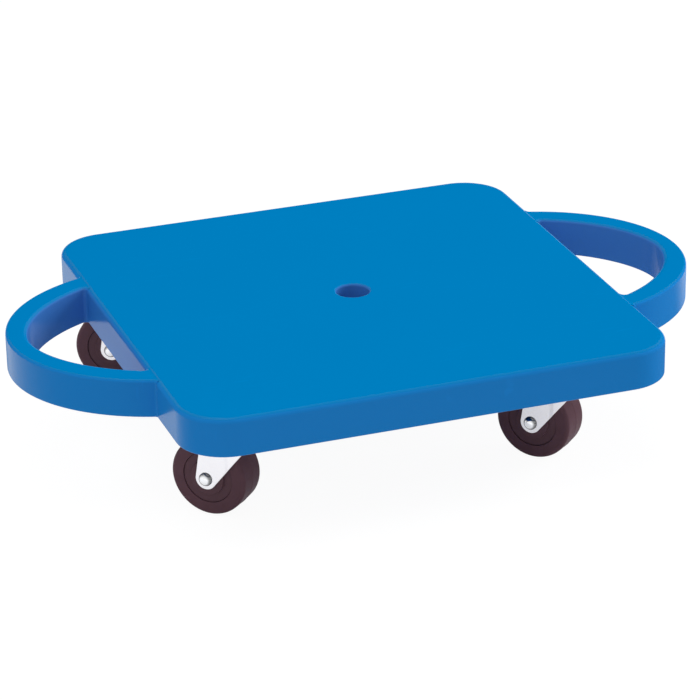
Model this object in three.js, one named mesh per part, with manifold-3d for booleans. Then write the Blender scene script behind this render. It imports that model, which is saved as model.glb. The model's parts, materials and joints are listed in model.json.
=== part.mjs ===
// Scooter board: a square moulded deck with a hand loop on each side, carried by four
// swivel casters that are screwed under its corners.
// Millimetres, +X to the right hand loop, +Y to the back, +Z up. The origin is on the
// ground under the middle of the deck.

import * as THREE from "three";
import { mergeVertices } from "three/addons/utils/BufferGeometryUtils.js";
import Module from "manifold-3d";

const wasm = await Module();
wasm.setup();

// Deck moulding
const deckSide = 304.8;
const deckThickness = 24;
const deckCornerRadius = 30;
const deckTopRadius = 3.5;
const deckFootRadius = 1;
const deckWall = 4;
const deckSkin = 4.5;
const ribThickness = 3;
const ribsBetweenCasters = 3;
const bossDiameter = 11;
const holeDiameter = 21.5;
const holeLipRadius = 3.2;
const holeTubeWall = 4;

// Hand loops, each an ellipse whose centre lies inside the deck's side
const handleReach = 66.2;
const handleCentreInset = 36;
const handleHalfWidth = 89.9;
const handleBand = 14;
const handleTopDrop = 0.4;
const handleEdgeRadius = 1.2;
const handleFootRadius = 1;
const handleWall = 3.5;
const handleRibCount = 7;
const handleRibFan = 108;
const handleExponent = 2;
const handGapExponent = 1.82;

// Caster wheels
const wheelDiameter = 49.2;
const treadWidth = 22.1;
const treadShoulder = 2.6;
const rubberDepth = 8.5;
const tyreKeyWidth = 8;
const tyreKeyDepth = 1.8;
const coreFaceRecess = 0.7;
const hubFaceDiameter = 22;
const hubChamfer = 0.8;

// Axle
const axleDiameter = 6;
const axleHeadDiameter = 8.8;
const axleHeadHeight = 2.5;
const axleTip = 1.2;
const axleChamfer = 0.6;
const sleeveWall = 1.3;
const nutAcrossFlats = 10;
const nutHeight = 4.5;

// Fork
const trail = 21.6;
const forkSteel = 1.6;
const forkSideRoom = 1;
const forkEndRadius = 7.4;
const forkFrontSlant = 38.5;
const forkBackSlant = 9;
const forkInsideBend = 1.4;
const forkJoggle = 1;
const forkJoggleRun = 3.4;
const forkJoggleReach = 9;
const crownRoom = 2.4;
const cupDiameter = 37.2;
const cupRim = 0.6;
const cupChamfer = 1;

// Balls and races
const ballDiameter = 4.8;
const ballCount = 8;
const ballSink = 0.1;
const raceDepth = 2.8;
const raceFloorRoom = 0.8;

// King pin
const kingPinDiameter = 8;
const kingHeadRoom = 2.5;
const kingHeadHeight = 1.6;
const kingRivetSpread = 2.5;
const kingRivetHeight = 1.6;
const kingWasherDiameter = 18;
const kingWasherThickness = 1.7;

// Mounting plates and their screws
const swivelInset = 48.9;
const plateMargin = 8;
const plateThickness = 2;
const plateCornerRadius = 5;
const screwSpacingAcross = 44;
const screwSpacingAlong = 32;
const screwDiameter = 3.8;
const screwLength = 13;
const screwPoint = 3;
const pilotSpare = 2;
const screwHeadDiameter = 8.4;
const screwHeadHeight = 2.4;

// Clearances
const runningGap = 0.3;
const seatGap = 0.2;
const wideGap = 0.5;
const overrun = 5;

// Where each caster stands and the way its wheel trails at rest, in degrees from +X
const casters = [
  { name: "front_left", side: -1, end: -1, heading: 134.8 },
  { name: "front_right", side: 1, end: -1, heading: 131.4 },
  { name: "back_left", side: -1, end: 1, heading: 148 },
  { name: "back_right", side: 1, end: 1, heading: 138 },
];

// Facets
const cornerSteps = 5;
const edgeSteps = 3;
const footSteps = 1;
const bendSteps = 2;
const loopSteps = 36;
const tyreSides = 22;
const coreSides = 14;
const cupSides = 14;
const pinSides = 8;
const bossSides = 8;
const screwSides = 6;
const nutSides = 6;
const ballSides = 6;
const ballRings = 3;

// Heights, from the ground up
const wheelRadius = wheelDiameter / 2;
const crownUnderside = wheelDiameter + crownRoom;
const crownTop = crownUnderside + forkSteel;
const ballHeight = crownTop + ballDiameter / 2 - ballSink;
const raceHeight = ballHeight + ballDiameter / 2 + runningGap;
const plateUnderside = raceHeight + raceDepth;
const deckBottom = plateUnderside + plateThickness;
const deckTop = deckBottom + deckThickness;
const deckCeiling = deckTop - deckSkin;
const pilotTop = deckBottom + screwLength + pilotSpare;
const handleTop = deckTop - handleTopDrop;
const handleCeiling = handleTop - handleWall;

// Widths across a wheel, each measured from its middle
const treadHalf = treadWidth / 2;
const coreFace = treadHalf - coreFaceRecess;
const legInside = treadHalf + forkSideRoom;
const legOutside = legInside + forkSteel;
const hubFace = legInside - runningGap;

// Radii round the axle, from the shank outwards
const tyreBore = wheelDiameter - 2 * rubberDepth;
const axleRadius = axleDiameter / 2;
const axleHole = axleRadius + runningGap;
const sleeveRadius = axleHole + sleeveWall;
const coreBore = sleeveRadius + runningGap;
const coreRadius = tyreBore / 2 - seatGap;

// Radii round the swivel axis
const kingPinRadius = kingPinDiameter / 2;
const kingPinHole = kingPinRadius + runningGap;
const crownHole = kingPinRadius + wideGap;
const cupRadius = cupDiameter / 2;
const cupInside = cupRadius - forkSteel;
const ballCircle = cupInside - ballDiameter / 2 + ballSink;
const raceInside = ballCircle - ballDiameter / 2 - runningGap;
const raceOutside = cupInside - wideGap;
const kingHeadRadius = raceInside - plateThickness - kingHeadRoom;
const kingRivetRadius = kingPinRadius + kingRivetSpread;

// Screws, and the plates that they hold up
const screwRadius = screwDiameter / 2;
const screwHole = screwRadius + runningGap;
const plateLength = screwSpacingAcross + 2 * plateMargin;
const plateWidth = screwSpacingAlong + 2 * plateMargin;
const swivelSpacing = deckSide - 2 * swivelInset;

// Ribs run through the screw bosses, and evenly between the casters
function ribLines(screwSpacing) {
  const inner = (swivelSpacing - screwSpacing) / 2;
  const outer = (swivelSpacing + screwSpacing) / 2;
  const lines = [-outer, outer];
  for (let i = 0; i < ribsBetweenCasters + 2; i++) {
    lines.push(-inner + (2 * inner * i) / (ribsBetweenCasters + 1));
  }
  return lines;
}

// A bore's flats lie on its radius, so its corners lie a little outside
function bore(radius, sides) {
  return radius / Math.cos(Math.PI / sides);
}

// Closed geometry to a solid, with its shared points merged and its empty facets dropped
function solidOf(geometry) {
  const bare = geometry.clone();
  bare.deleteAttribute("normal");
  bare.deleteAttribute("uv");
  const merged = mergeVertices(bare);
  const corners = merged.index.array;
  const kept = [];
  for (let i = 0; i < corners.length; i += 3) {
    const [a, b, c] = corners.subarray(i, i + 3);
    if (a !== b && b !== c && c !== a) kept.push(a, b, c);
  }
  return new wasm.Manifold(
    new wasm.Mesh({
      numProp: 3,
      vertProperties: new Float32Array(merged.attributes.position.array),
      triVerts: new Uint32Array(kept),
    }),
  );
}

function geometryOf(solid) {
  const { vertProperties, triVerts } = solid.getMesh();
  const geometry = new THREE.BufferGeometry();
  geometry.setAttribute("position", new THREE.BufferAttribute(vertProperties, 3));
  geometry.setIndex(new THREE.BufferAttribute(triVerts, 1));
  geometry.computeVertexNormals();
  return geometry;
}

function joined(solids) {
  return solids.reduce((whole, solid) => whole.add(solid));
}

function point(x, y) {
  return new THREE.Vector2(x, y);
}

// Points of an arc from one angle to another, in degrees
function arc(x, y, radius, from, to, steps) {
  const points = [];
  for (let i = 0; i <= steps; i++) {
    const angle = THREE.MathUtils.degToRad(from + ((to - from) * i) / steps);
    points.push(point(x + radius * Math.cos(angle), y + radius * Math.sin(angle)));
  }
  return points;
}

// A profile of radius and height, turned about the Y axis. A bored piece's profile
// is closed here, and one that has a core starts and ends on the axis.
function turnedY(profile, sides, startAngle = 0) {
  const counterclockwise = THREE.ShapeUtils.area(profile) > 0;
  const points = counterclockwise ? [...profile] : [...profile].reverse();
  if (points[0].x > 0) points.push(points[0].clone());
  return new THREE.LatheGeometry(points, sides, startAngle);
}

function turnedZ(profile, sides) {
  return turnedY(profile, sides).rotateX(Math.PI / 2);
}

function cylinder(radius, bottom, top, sides) {
  const profile = [point(0, bottom), point(radius, bottom), point(radius, top), point(0, top)];
  return turnedZ(profile, sides);
}

// An outline in X and Y, raised from one height to another
function raised(outline, bottom, top) {
  const shape = new THREE.Shape(outline);
  const depth = top - bottom;
  return new THREE.ExtrudeGeometry(shape, { depth, bevelEnabled: false }).translate(0, 0, bottom);
}

function block(lengthX, lengthY, bottom, top) {
  const height = top - bottom;
  return new THREE.BoxGeometry(lengthX, lengthY, height).translate(0, 0, bottom + height / 2);
}

function roundedRectangle(lengthX, lengthY, radius, steps = cornerSteps) {
  const x = lengthX / 2 - radius;
  const y = lengthY / 2 - radius;
  return [
    ...arc(x, y, radius, 0, 90, steps),
    ...arc(-x, y, radius, 90, 180, steps),
    ...arc(-x, -y, radius, 180, 270, steps),
    ...arc(x, -y, radius, 270, 360, steps),
  ];
}

// A full oval, moved outwards by grow along its own normals
function oval(centreX, halfX, halfY, exponent, grow) {
  const points = [];
  const power = 2 / exponent;
  for (let i = 0; i < loopSteps; i++) {
    const angle = (2 * Math.PI * (i + 1 / 2)) / loopSteps;
    const cos = Math.cos(angle);
    const sin = Math.sin(angle);
    const x = Math.sign(cos) * Math.abs(cos) ** power;
    const y = Math.sign(sin) * Math.abs(sin) ** power;
    const normal = point(
      (Math.sign(x) * Math.abs(x) ** (exponent - 1)) / halfX,
      (Math.sign(y) * Math.abs(y) ** (exponent - 1)) / halfY,
    ).setLength(grow);
    points.push(point(centreX + x * halfX, y * halfY).add(normal));
  }
  return points;
}

// A closed skin over sections that all have the same number of points
function lofted(sections) {
  const count = sections[0].outline.length;
  const positions = [];
  const index = [];
  for (const { outline, z } of sections) {
    for (const p of outline) positions.push(p.x, p.y, z);
  }
  for (let s = 0; s + 1 < sections.length; s++) {
    for (let i = 0; i < count; i++) {
      const a = s * count + i;
      const b = s * count + ((i + 1) % count);
      index.push(a, b, b + count, a, b + count, a + count);
    }
  }
  const lastStart = (sections.length - 1) * count;
  for (const [a, b, c] of THREE.ShapeUtils.triangulateShape(sections[0].outline, [])) {
    index.push(a, c, b);
    index.push(lastStart + a, lastStart + b, lastStart + c);
  }
  const geometry = new THREE.BufferGeometry();
  geometry.setAttribute("position", new THREE.Float32BufferAttribute(positions, 3));
  geometry.setIndex(index);
  return geometry;
}

// Sections of a body whose foot and top edges are rounded. A cutter's are flared instead,
// with way at -1, and run past both ends so that they round the edges of what they cut.
function roundedSections(outlineAt, bottom, top, footRadius, topRadius, topSteps, way) {
  const sections = [];
  if (way < 0) sections.push({ outline: outlineAt(footRadius), z: bottom - overrun });
  for (let i = 0; i <= footSteps; i++) {
    const angle = (Math.PI / 2) * (i / footSteps);
    const inset = footRadius * (1 - Math.sin(angle));
    const z = bottom + footRadius * (1 - Math.cos(angle));
    sections.push({ outline: outlineAt(-way * inset), z });
  }
  for (let i = 0; i <= topSteps; i++) {
    const angle = (Math.PI / 2) * (i / topSteps);
    const inset = topRadius * (1 - Math.cos(angle));
    const z = top - topRadius * (1 - Math.sin(angle));
    sections.push({ outline: outlineAt(-way * inset), z });
  }
  if (way < 0) sections.push({ outline: outlineAt(topRadius), z: top + overrun });
  return sections;
}

// Deck

function deckOutline(grow) {
  const side = deckSide + 2 * grow;
  return roundedRectangle(side, side, deckCornerRadius + grow);
}

function deckBlank() {
  const sections = roundedSections(
    deckOutline,
    deckBottom,
    deckTop,
    deckFootRadius,
    deckTopRadius,
    edgeSteps,
    1,
  );
  return solidOf(lofted(sections));
}

// The hand loop before it joins the deck: the outer oval less the hand gap
function handleLoop(side) {
  const centreX = side * (deckSide / 2 - handleCentreInset);
  const halfX = handleReach + handleCentreInset;
  const outer = (grow) => oval(centreX, halfX, handleHalfWidth, handleExponent, grow);
  const gap = (grow) =>
    oval(
      centreX,
      halfX - handleBand,
      handleHalfWidth - handleBand,
      handGapExponent,
      grow,
    );
  const edges = [handleFootRadius, handleEdgeRadius, bendSteps];
  const band = solidOf(lofted(roundedSections(outer, deckBottom, handleTop, ...edges, 1)));
  const cutter = solidOf(lofted(roundedSections(gap, deckBottom, handleTop, ...edges, -1)));
  const coreOutside = solidOf(
    raised(outer(-handleWall), deckBottom - overrun, handleCeiling),
  );
  const coreInside = solidOf(raised(gap(handleWall), deckBottom - 2 * overrun, handleTop));
  const core = coreOutside
    .subtract(coreInside)
    .subtract(joined(handleRibs(side, centreX)))
    .subtract(solidOf(block(deckSide, deckSide, deckBottom - 2 * overrun, deckTop)));
  return { loop: band.subtract(cutter), core };
}

// Short ribs that cross the channel under a hand loop
function handleRibs(side, centreX) {
  const reach = handleReach + handleCentreInset;
  const ribs = [];
  for (let i = 0; i < handleRibCount; i++) {
    const share = i / (handleRibCount - 1) - 1 / 2;
    const angle = THREE.MathUtils.degToRad(handleRibFan * share);
    const rib = block(reach, ribThickness, deckBottom, deckTop)
      .translate(reach / 2, 0, 0)
      .rotateZ(side > 0 ? angle : Math.PI - angle)
      .translate(centreX, 0, 0);
    ribs.push(solidOf(rib));
  }
  return ribs;
}

// The hollow under the deck, with the ribs, screw bosses and hole tube left standing
function deckHollow() {
  const inside = solidOf(raised(deckOutline(-deckWall), deckBottom - overrun, deckCeiling));
  const ribs = [];
  for (const x of ribLines(screwSpacingAcross)) {
    ribs.push(solidOf(block(ribThickness, deckSide, deckBottom, deckTop).translate(x, 0, 0)));
  }
  for (const y of ribLines(screwSpacingAlong)) {
    ribs.push(solidOf(block(deckSide, ribThickness, deckBottom, deckTop).translate(0, y, 0)));
  }
  const tube = cylinder(holeDiameter / 2 + holeTubeWall, deckBottom, deckTop, cupSides);
  const bosses = screwPlaces().map(([x, y]) =>
    solidOf(cylinder(bossDiameter / 2, deckBottom, deckTop, bossSides).translate(x, y, 0)),
  );
  return inside.subtract(joined([...ribs, ...bosses, solidOf(tube)]));
}

function screwPlaces() {
  const places = [];
  for (const { side, end } of casters) {
    for (const [x, y] of plateHoles()) {
      places.push([(side * swivelSpacing) / 2 + x, (end * swivelSpacing) / 2 + y]);
    }
  }
  return places;
}

function centreHole() {
  const radius = holeDiameter / 2;
  const profile = [
    point(0, deckBottom - overrun),
    point(radius + deckFootRadius, deckBottom - overrun),
    point(radius + deckFootRadius, deckBottom),
    point(radius, deckBottom + deckFootRadius),
    ...arc(radius + holeLipRadius, deckTop - holeLipRadius, holeLipRadius, 180, 90, edgeSteps),
    point(radius + holeLipRadius, deckTop + overrun),
    point(0, deckTop + overrun),
  ];
  return solidOf(turnedZ(profile, cupSides));
}

function deck() {
  const right = handleLoop(1);
  const left = handleLoop(-1);
  const pilots = screwPlaces().map(([x, y]) =>
    solidOf(
      cylinder(bore(screwHole, screwSides), deckBottom - overrun, pilotTop, screwSides)
        .translate(x, y, 0),
    ),
  );
  return deckBlank()
    .add(right.loop)
    .add(left.loop)
    .subtract(deckHollow())
    .subtract(right.core)
    .subtract(left.core)
    .subtract(centreHole())
    .subtract(joined(pilots));
}

// Mounting plate

function plateHoles() {
  const x = screwSpacingAcross / 2;
  const y = screwSpacingAlong / 2;
  return [
    [x, y],
    [-x, y],
    [-x, -y],
    [x, -y],
  ];
}

// A flat plate whose middle is pressed down into a stepped cone: the balls run under
// its shoulder and round its cone
function mountPlate() {
  const outline = roundedRectangle(plateLength, plateWidth, plateCornerRadius, bendSteps);
  const holes = plateHoles().map(([x, y]) =>
    solidOf(
      cylinder(
        bore(screwHole, screwSides),
        plateUnderside - overrun,
        deckBottom + overrun,
        screwSides,
      ).translate(x, y, 0),
    ),
  );
  const mouth = cylinder(
    raceOutside - plateThickness / 2,
    plateUnderside - overrun,
    deckBottom + overrun,
    cupSides,
  );
  const flat = solidOf(raised(outline, plateUnderside, deckBottom))
    .subtract(joined(holes))
    .subtract(solidOf(mouth));
  const floor = crownTop + raceFloorRoom;
  const pinHole = bore(kingPinHole, cupSides);
  const pressed = [
    point(pinHole, floor),
    point(raceInside, floor),
    point(raceInside, raceHeight),
    point(raceOutside, raceHeight),
    point(raceOutside, deckBottom),
    point(raceOutside - plateThickness, deckBottom),
    point(raceOutside - plateThickness, raceHeight + plateThickness),
    point(raceInside - plateThickness, raceHeight + plateThickness),
    point(raceInside - plateThickness, floor + plateThickness),
    point(pinHole, floor + plateThickness),
  ];
  return flat.add(solidOf(turnedZ(pressed, cupSides)));
}

// Screw, point up, with its domed head under the plate
function screw() {
  const headTop = plateUnderside;
  const tip = deckBottom + screwLength;
  const profile = [
    point(0, headTop - screwHeadHeight),
    point(screwHeadDiameter / 3, headTop - screwHeadHeight),
    point(screwHeadDiameter / 2, headTop),
    point(screwRadius, headTop),
    point(screwRadius, tip - screwPoint),
    point(0, tip),
  ];
  return solidOf(turnedZ(profile, screwSides));
}

// Rivet that the fork turns on: its head lies in the plate's cone, and its foot is
// spread under the washer
function kingPin() {
  const headBottom = crownTop + raceFloorRoom + plateThickness;
  const washerFoot = crownUnderside - runningGap - kingWasherThickness;
  const profile = [
    point(0, washerFoot - kingRivetHeight),
    point(kingPinRadius, washerFoot - kingRivetHeight),
    point(kingRivetRadius, washerFoot - kingRivetHeight / 2),
    point(kingRivetRadius, washerFoot),
    point(kingPinRadius, washerFoot),
    point(kingPinRadius, headBottom),
    point(kingHeadRadius, headBottom),
    point(kingHeadRadius, headBottom + kingHeadHeight),
    point(0, headBottom + kingHeadHeight),
  ];
  return solidOf(turnedZ(profile, pinSides));
}

function kingWasher() {
  const top = crownUnderside - runningGap;
  const foot = top - kingWasherThickness;
  const rim = kingWasherDiameter / 2;
  const pinHole = bore(kingPinHole, pinSides);
  const profile = [
    point(pinHole, foot),
    point(rim - kingWasherThickness / 2, foot),
    point(rim, foot + kingWasherThickness / 2),
    point(rim, top),
    point(pinHole, top),
  ];
  return solidOf(turnedZ(profile, pinSides));
}

// Fork, with its wheel trailing along +X

// The bent sheet seen from the front, a crown between two legs that are moved out by spread
function forkOutline(spread) {
  const inside = legInside + spread;
  const outside = legOutside + spread;
  const inner = forkInsideBend;
  const outer = forkInsideBend + forkSteel;
  return [
    point(-outside, 0),
    point(-inside, 0),
    ...arc(-inside + inner, crownUnderside - inner, inner, 180, 90, bendSteps),
    ...arc(inside - inner, crownUnderside - inner, inner, 90, 0, bendSteps),
    point(inside, 0),
    point(outside, 0),
    ...arc(outside - outer, crownTop - outer, outer, 0, 90, bendSteps),
    ...arc(-outside + outer, crownTop - outer, outer, 90, 180, bendSteps),
  ];
}

// The sheet from front to back. Its legs step outwards under the cup that they carry.
function forkSheet() {
  const reach = trail + forkEndRadius + crownTop;
  const sections = [
    { outline: forkOutline(forkJoggle), z: -reach },
    { outline: forkOutline(forkJoggle), z: forkJoggleReach - forkJoggleRun },
    { outline: forkOutline(0), z: forkJoggleReach },
    { outline: forkOutline(0), z: reach },
  ];
  return lofted(sections)
    .rotateX(Math.PI / 2)
    .rotateZ(Math.PI / 2);
}

// Each leg seen from the side: two slanting edges that run down to a round end
function forkSide() {
  const end = arc(
    trail,
    wheelRadius,
    forkEndRadius,
    forkBackSlant,
    forkFrontSlant - 180,
    cornerSteps,
  );
  const first = end[0];
  const last = end[end.length - 1];
  const back = (crownTop - first.y) * Math.tan(THREE.MathUtils.degToRad(forkBackSlant));
  const front = (crownTop - last.y) * Math.tan(THREE.MathUtils.degToRad(forkFrontSlant));
  const outline = [
    point(last.x - front, crownTop),
    point(first.x - back, crownTop),
    ...end,
  ];
  const shape = new THREE.Shape(outline);
  const depth = 2 * (legOutside + overrun);
  return new THREE.ExtrudeGeometry(shape, { depth, bevelEnabled: false })
    .rotateX(Math.PI / 2)
    .translate(0, depth / 2, 0);
}

function forkCup() {
  const rim = plateUnderside - cupRim;
  const profile = [
    point(0, crownUnderside),
    point(cupRadius - cupChamfer, crownUnderside),
    point(cupRadius, crownUnderside + cupChamfer),
    point(cupRadius, rim),
    point(bore(cupInside, cupSides), rim),
    point(bore(cupInside, cupSides), crownTop),
    point(0, crownTop),
  ];
  return solidOf(turnedZ(profile, cupSides));
}

// The row of balls lies in the corner of the cup, and is one piece with the fork
function balls() {
  const row = [];
  for (let i = 0; i < ballCount; i++) {
    const ball = new THREE.SphereGeometry(ballDiameter / 2, ballSides, ballRings)
      .rotateX(Math.PI / 2)
      .translate(ballCircle, 0, ballHeight)
      .rotateZ((2 * Math.PI * i) / ballCount);
    row.push(solidOf(ball));
  }
  return joined(row);
}

function fork() {
  const legs = solidOf(forkSheet()).intersect(solidOf(forkSide()));
  const pinHole = cylinder(
    bore(crownHole, cupSides),
    crownUnderside - overrun,
    crownTop + overrun,
    cupSides,
  );
  return legs
    .subtract(axleBore(legOutside + overrun))
    .add(forkCup())
    .subtract(solidOf(pinHole))
    .add(balls());
}

// Axle, sleeve, nut and wheel are all turned about the Y axis through the axle

function onAxle(geometry) {
  return geometry.translate(trail, 0, wheelRadius);
}

// Cutter for the axle's hole, reaching as far on both sides of the wheel's middle
function axleBore(reach) {
  const radius = bore(axleHole, pinSides);
  const profile = [point(0, -reach), point(radius, -reach), point(radius, reach), point(0, reach)];
  return solidOf(onAxle(turnedY(profile, pinSides)));
}

function axle() {
  const seat = legOutside + seatGap;
  const end = -(seat + nutHeight + axleTip);
  const dome = [];
  for (const p of arc(0, 0, 1, 90, 0, edgeSteps)) {
    dome.push(point((p.x * axleHeadDiameter) / 2, seat + p.y * axleHeadHeight));
  }
  const profile = [
    ...dome,
    point(axleRadius, seat),
    point(axleRadius, end + axleChamfer),
    point(axleRadius - axleChamfer, end),
    point(0, end),
  ];
  return solidOf(onAxle(turnedY(profile, pinSides)));
}

function sleeve() {
  const face = legInside - seatGap;
  const profile = [
    point(0, -face),
    point(sleeveRadius, -face),
    point(sleeveRadius, face),
    point(0, face),
  ];
  return solidOf(onAxle(turnedY(profile, pinSides))).subtract(axleBore(face + overrun));
}

function nut() {
  const seat = legOutside + seatGap;
  const corner = bore(nutAcrossFlats / 2, nutSides);
  const hexagon = new THREE.CylinderGeometry(corner, corner, nutHeight, nutSides)
    .translate(0, -(seat + nutHeight / 2), 0);
  return solidOf(onAxle(hexagon)).subtract(axleBore(seat + nutHeight + overrun));
}

function wheelCore() {
  const hub = hubFaceDiameter / 2;
  const key = coreRadius + tyreKeyDepth;
  const half = [
    point(bore(coreBore, coreSides), hubFace),
    point(hub - hubChamfer, hubFace),
    point(hub, coreFace),
    point(coreRadius, coreFace),
    point(coreRadius, tyreKeyWidth / 2),
    point(key, tyreKeyWidth / 2),
  ];
  const other = half.map((p) => point(p.x, -p.y)).reverse();
  return solidOf(onAxle(turnedY([...half, ...other], coreSides)));
}

// The tread is turned so that one of its flats lies on the ground
function tyre() {
  const corner = bore(wheelRadius, tyreSides);
  const inside = bore(tyreBore / 2, tyreSides);
  const keyway = bore(tyreBore / 2 + tyreKeyDepth, tyreSides);
  const keyHalf = tyreKeyWidth / 2 + seatGap;
  const half = [
    point(keyway, keyHalf),
    point(inside, keyHalf),
    point(inside, treadHalf),
    ...arc(corner - treadShoulder, treadHalf - treadShoulder, treadShoulder, 90, 0, bendSteps),
  ];
  const other = half.map((p) => point(p.x, -p.y)).reverse();
  return solidOf(onAxle(turnedY([...half, ...other], tyreSides, Math.PI / tyreSides)));
}

// Finishes

const bluePlastic = { color: 0x0a7cc0, roughness: 0.45, metalness: 0 };
const zincSteel = { color: 0xd5d6da, roughness: 0.35, metalness: 0.9 };
const polishedSteel = { color: 0xe4e5e8, roughness: 0.2, metalness: 1 };
const darkRubber = { color: 0x44333a, roughness: 0.7, metalness: 0 };
const darkPlastic = { color: 0x3e3036, roughness: 0.6, metalness: 0 };

function piece(name, solid, finish) {
  const mesh = new THREE.Mesh(geometryOf(solid), new THREE.MeshStandardMaterial(finish));
  mesh.name = name;
  return mesh;
}

// Pieces that stay with the deck when a caster turns
function fixedPieces(name) {
  const group = new THREE.Group();
  group.add(piece(`${name}_mount_plate`, mountPlate(), zincSteel));
  group.add(piece(`${name}_king_pin`, kingPin(), zincSteel));
  group.add(piece(`${name}_king_washer`, kingWasher(), zincSteel));
  plateHoles().forEach(([x, y], i) => {
    const one = piece(`${name}_screw_${i + 1}`, screw(), polishedSteel);
    one.position.set(x, y, 0);
    group.add(one);
  });
  return group;
}

// Pieces that turn about the swivel axis
function turningPieces(name, heading) {
  const group = new THREE.Group();
  group.add(piece(`${name}_fork`, fork(), zincSteel));
  group.add(piece(`${name}_axle`, axle(), polishedSteel));
  group.add(piece(`${name}_axle_nut`, nut(), zincSteel));
  group.add(piece(`${name}_axle_sleeve`, sleeve(), zincSteel));
  group.add(piece(`${name}_wheel_core`, wheelCore(), darkPlastic));
  group.add(piece(`${name}_tyre`, tyre(), darkRubber));
  group.rotation.z = THREE.MathUtils.degToRad(heading);
  return group;
}

const board = new THREE.Group();
board.add(piece("deck", deck(), bluePlastic));
for (const { name, side, end, heading } of casters) {
  const caster = new THREE.Group();
  caster.add(fixedPieces(name), turningPieces(name, heading));
  caster.position.set((side * swivelSpacing) / 2, (end * swivelSpacing) / 2, 0);
  board.add(caster);
}

export default board;
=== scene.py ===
# %% [markdown]
# A moulded scooter board
#
# The board is one blue plastic moulding with a hand loop on each side, and it rolls on four
# swivel casters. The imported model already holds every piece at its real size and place.
# This notebook gives each piece its fine shape and its finish, then lights and frames it.
# We start by loading that model. Its boxes and joints are the only measures that we trust,
# so every size below is either read from it or named where it is first used.

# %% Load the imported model
import json
import math

import bmesh
import bpy
from mathutils import Matrix, Vector

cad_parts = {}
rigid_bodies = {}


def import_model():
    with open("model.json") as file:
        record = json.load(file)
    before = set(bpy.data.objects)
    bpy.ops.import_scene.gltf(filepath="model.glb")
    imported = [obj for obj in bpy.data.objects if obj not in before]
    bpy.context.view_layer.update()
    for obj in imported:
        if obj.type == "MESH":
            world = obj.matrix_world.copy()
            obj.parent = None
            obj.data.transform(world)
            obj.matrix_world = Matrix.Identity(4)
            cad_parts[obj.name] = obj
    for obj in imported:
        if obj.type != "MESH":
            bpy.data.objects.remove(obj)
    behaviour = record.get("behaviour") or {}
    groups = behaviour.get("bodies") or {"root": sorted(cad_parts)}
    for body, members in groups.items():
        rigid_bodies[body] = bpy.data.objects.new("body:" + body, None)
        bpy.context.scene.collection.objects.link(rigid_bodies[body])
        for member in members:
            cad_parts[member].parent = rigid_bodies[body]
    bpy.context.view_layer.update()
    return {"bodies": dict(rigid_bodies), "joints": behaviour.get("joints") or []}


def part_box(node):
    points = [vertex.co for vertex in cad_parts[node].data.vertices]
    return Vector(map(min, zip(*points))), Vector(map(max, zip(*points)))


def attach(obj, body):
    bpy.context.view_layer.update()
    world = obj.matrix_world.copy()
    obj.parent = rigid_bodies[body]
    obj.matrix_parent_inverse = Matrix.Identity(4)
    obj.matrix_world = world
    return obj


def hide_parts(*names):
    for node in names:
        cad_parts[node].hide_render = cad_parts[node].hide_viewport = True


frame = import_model()

MM = 0.001
deck_low, deck_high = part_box("deck")
casters = [body.removesuffix("_swivel") for body in frame["bodies"] if body.endswith("_swivel")]
joints = {joint["name"]: joint for joint in frame["joints"]}
print("deck, in mm:", [round(size / MM, 1) for size in deck_high - deck_low])
print("casters:", casters)

# %% [markdown]
# The camera
#
# A product photograph like this one is taken with a long lens from about two metres, so that
# the edges of the board stay nearly parallel. The camera could be placed by eye, but a fit of
# the board's corners, loops and wheels gives its angle and distance to a fraction of a pixel.
# We keep those results as plain values: two angles, a small roll, a distance and a lens.

# %% Camera
SENSOR = 36.0
AIM_DEPTH = 12 * MM
camera_azimuth = math.radians(19.42)
camera_elevation = math.radians(23.852)
camera_roll = math.radians(-0.931)
camera_distance = 1.99042
camera_aside = -1.949 * MM
camera_above = -26.032 * MM
camera_lens = 165.07
board_middle = Vector((0, 0, deck_high.z - AIM_DEPTH))


def in_scene(name, data):
    """A new object in the scene."""
    added = bpy.data.objects.new(name, data)
    bpy.context.scene.collection.objects.link(added)
    return added


def photograph_camera():
    """Place the camera on its sight line, looking back along it."""
    back = Vector((
        -math.sin(camera_azimuth) * math.cos(camera_elevation),
        -math.cos(camera_azimuth) * math.cos(camera_elevation),
        math.sin(camera_elevation),
    ))
    level = Vector((math.cos(camera_azimuth), -math.sin(camera_azimuth), 0))
    raised = back.cross(level)
    aside = math.cos(camera_roll) * level + math.sin(camera_roll) * raised
    above = -math.sin(camera_roll) * level + math.cos(camera_roll) * raised
    data = bpy.data.cameras.new("camera")
    data.sensor_width = SENSOR
    data.lens = camera_lens
    camera = in_scene("camera", data)
    place = board_middle + camera_distance * back + camera_aside * aside + camera_above * above
    turn = Matrix((aside, above, back)).transposed().to_4x4()
    camera.matrix_world = Matrix.Translation(place) @ turn
    return camera


bpy.context.scene.camera = photograph_camera()
print("camera at", [round(x, 3) for x in bpy.context.scene.camera.location])

# %% [markdown]
# Floor and light
#
# The board stands on a plain white sweep, lit by a broad softbox overhead and by another on
# the right. A backdrop could be modelled too, but the world can play that part: it is white
# for what the camera and the polished metal see, and dimmer as a source of light, so that
# the colours stay as written. The floor does the same, and keeps a faint shadow to show
# where the wheels stand. Metal sees a deeper shadow than the camera does, because polished
# legs without a dark side would look like paper. Walls that face right mirror something
# darker in the photograph, such as a grey screen, so the floor at the front right is dark
# in reflections, and stays white to the camera and to the light.

# %% White world
WHITE = (1, 1, 1, 1)
AMBIENT = 0.46


def feed(tree, target, source):
    """Link an output to a socket, or set the socket to a value."""
    if isinstance(source, bpy.types.NodeSocket):
        tree.links.new(source, target)
    else:
        target.default_value = source


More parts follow.
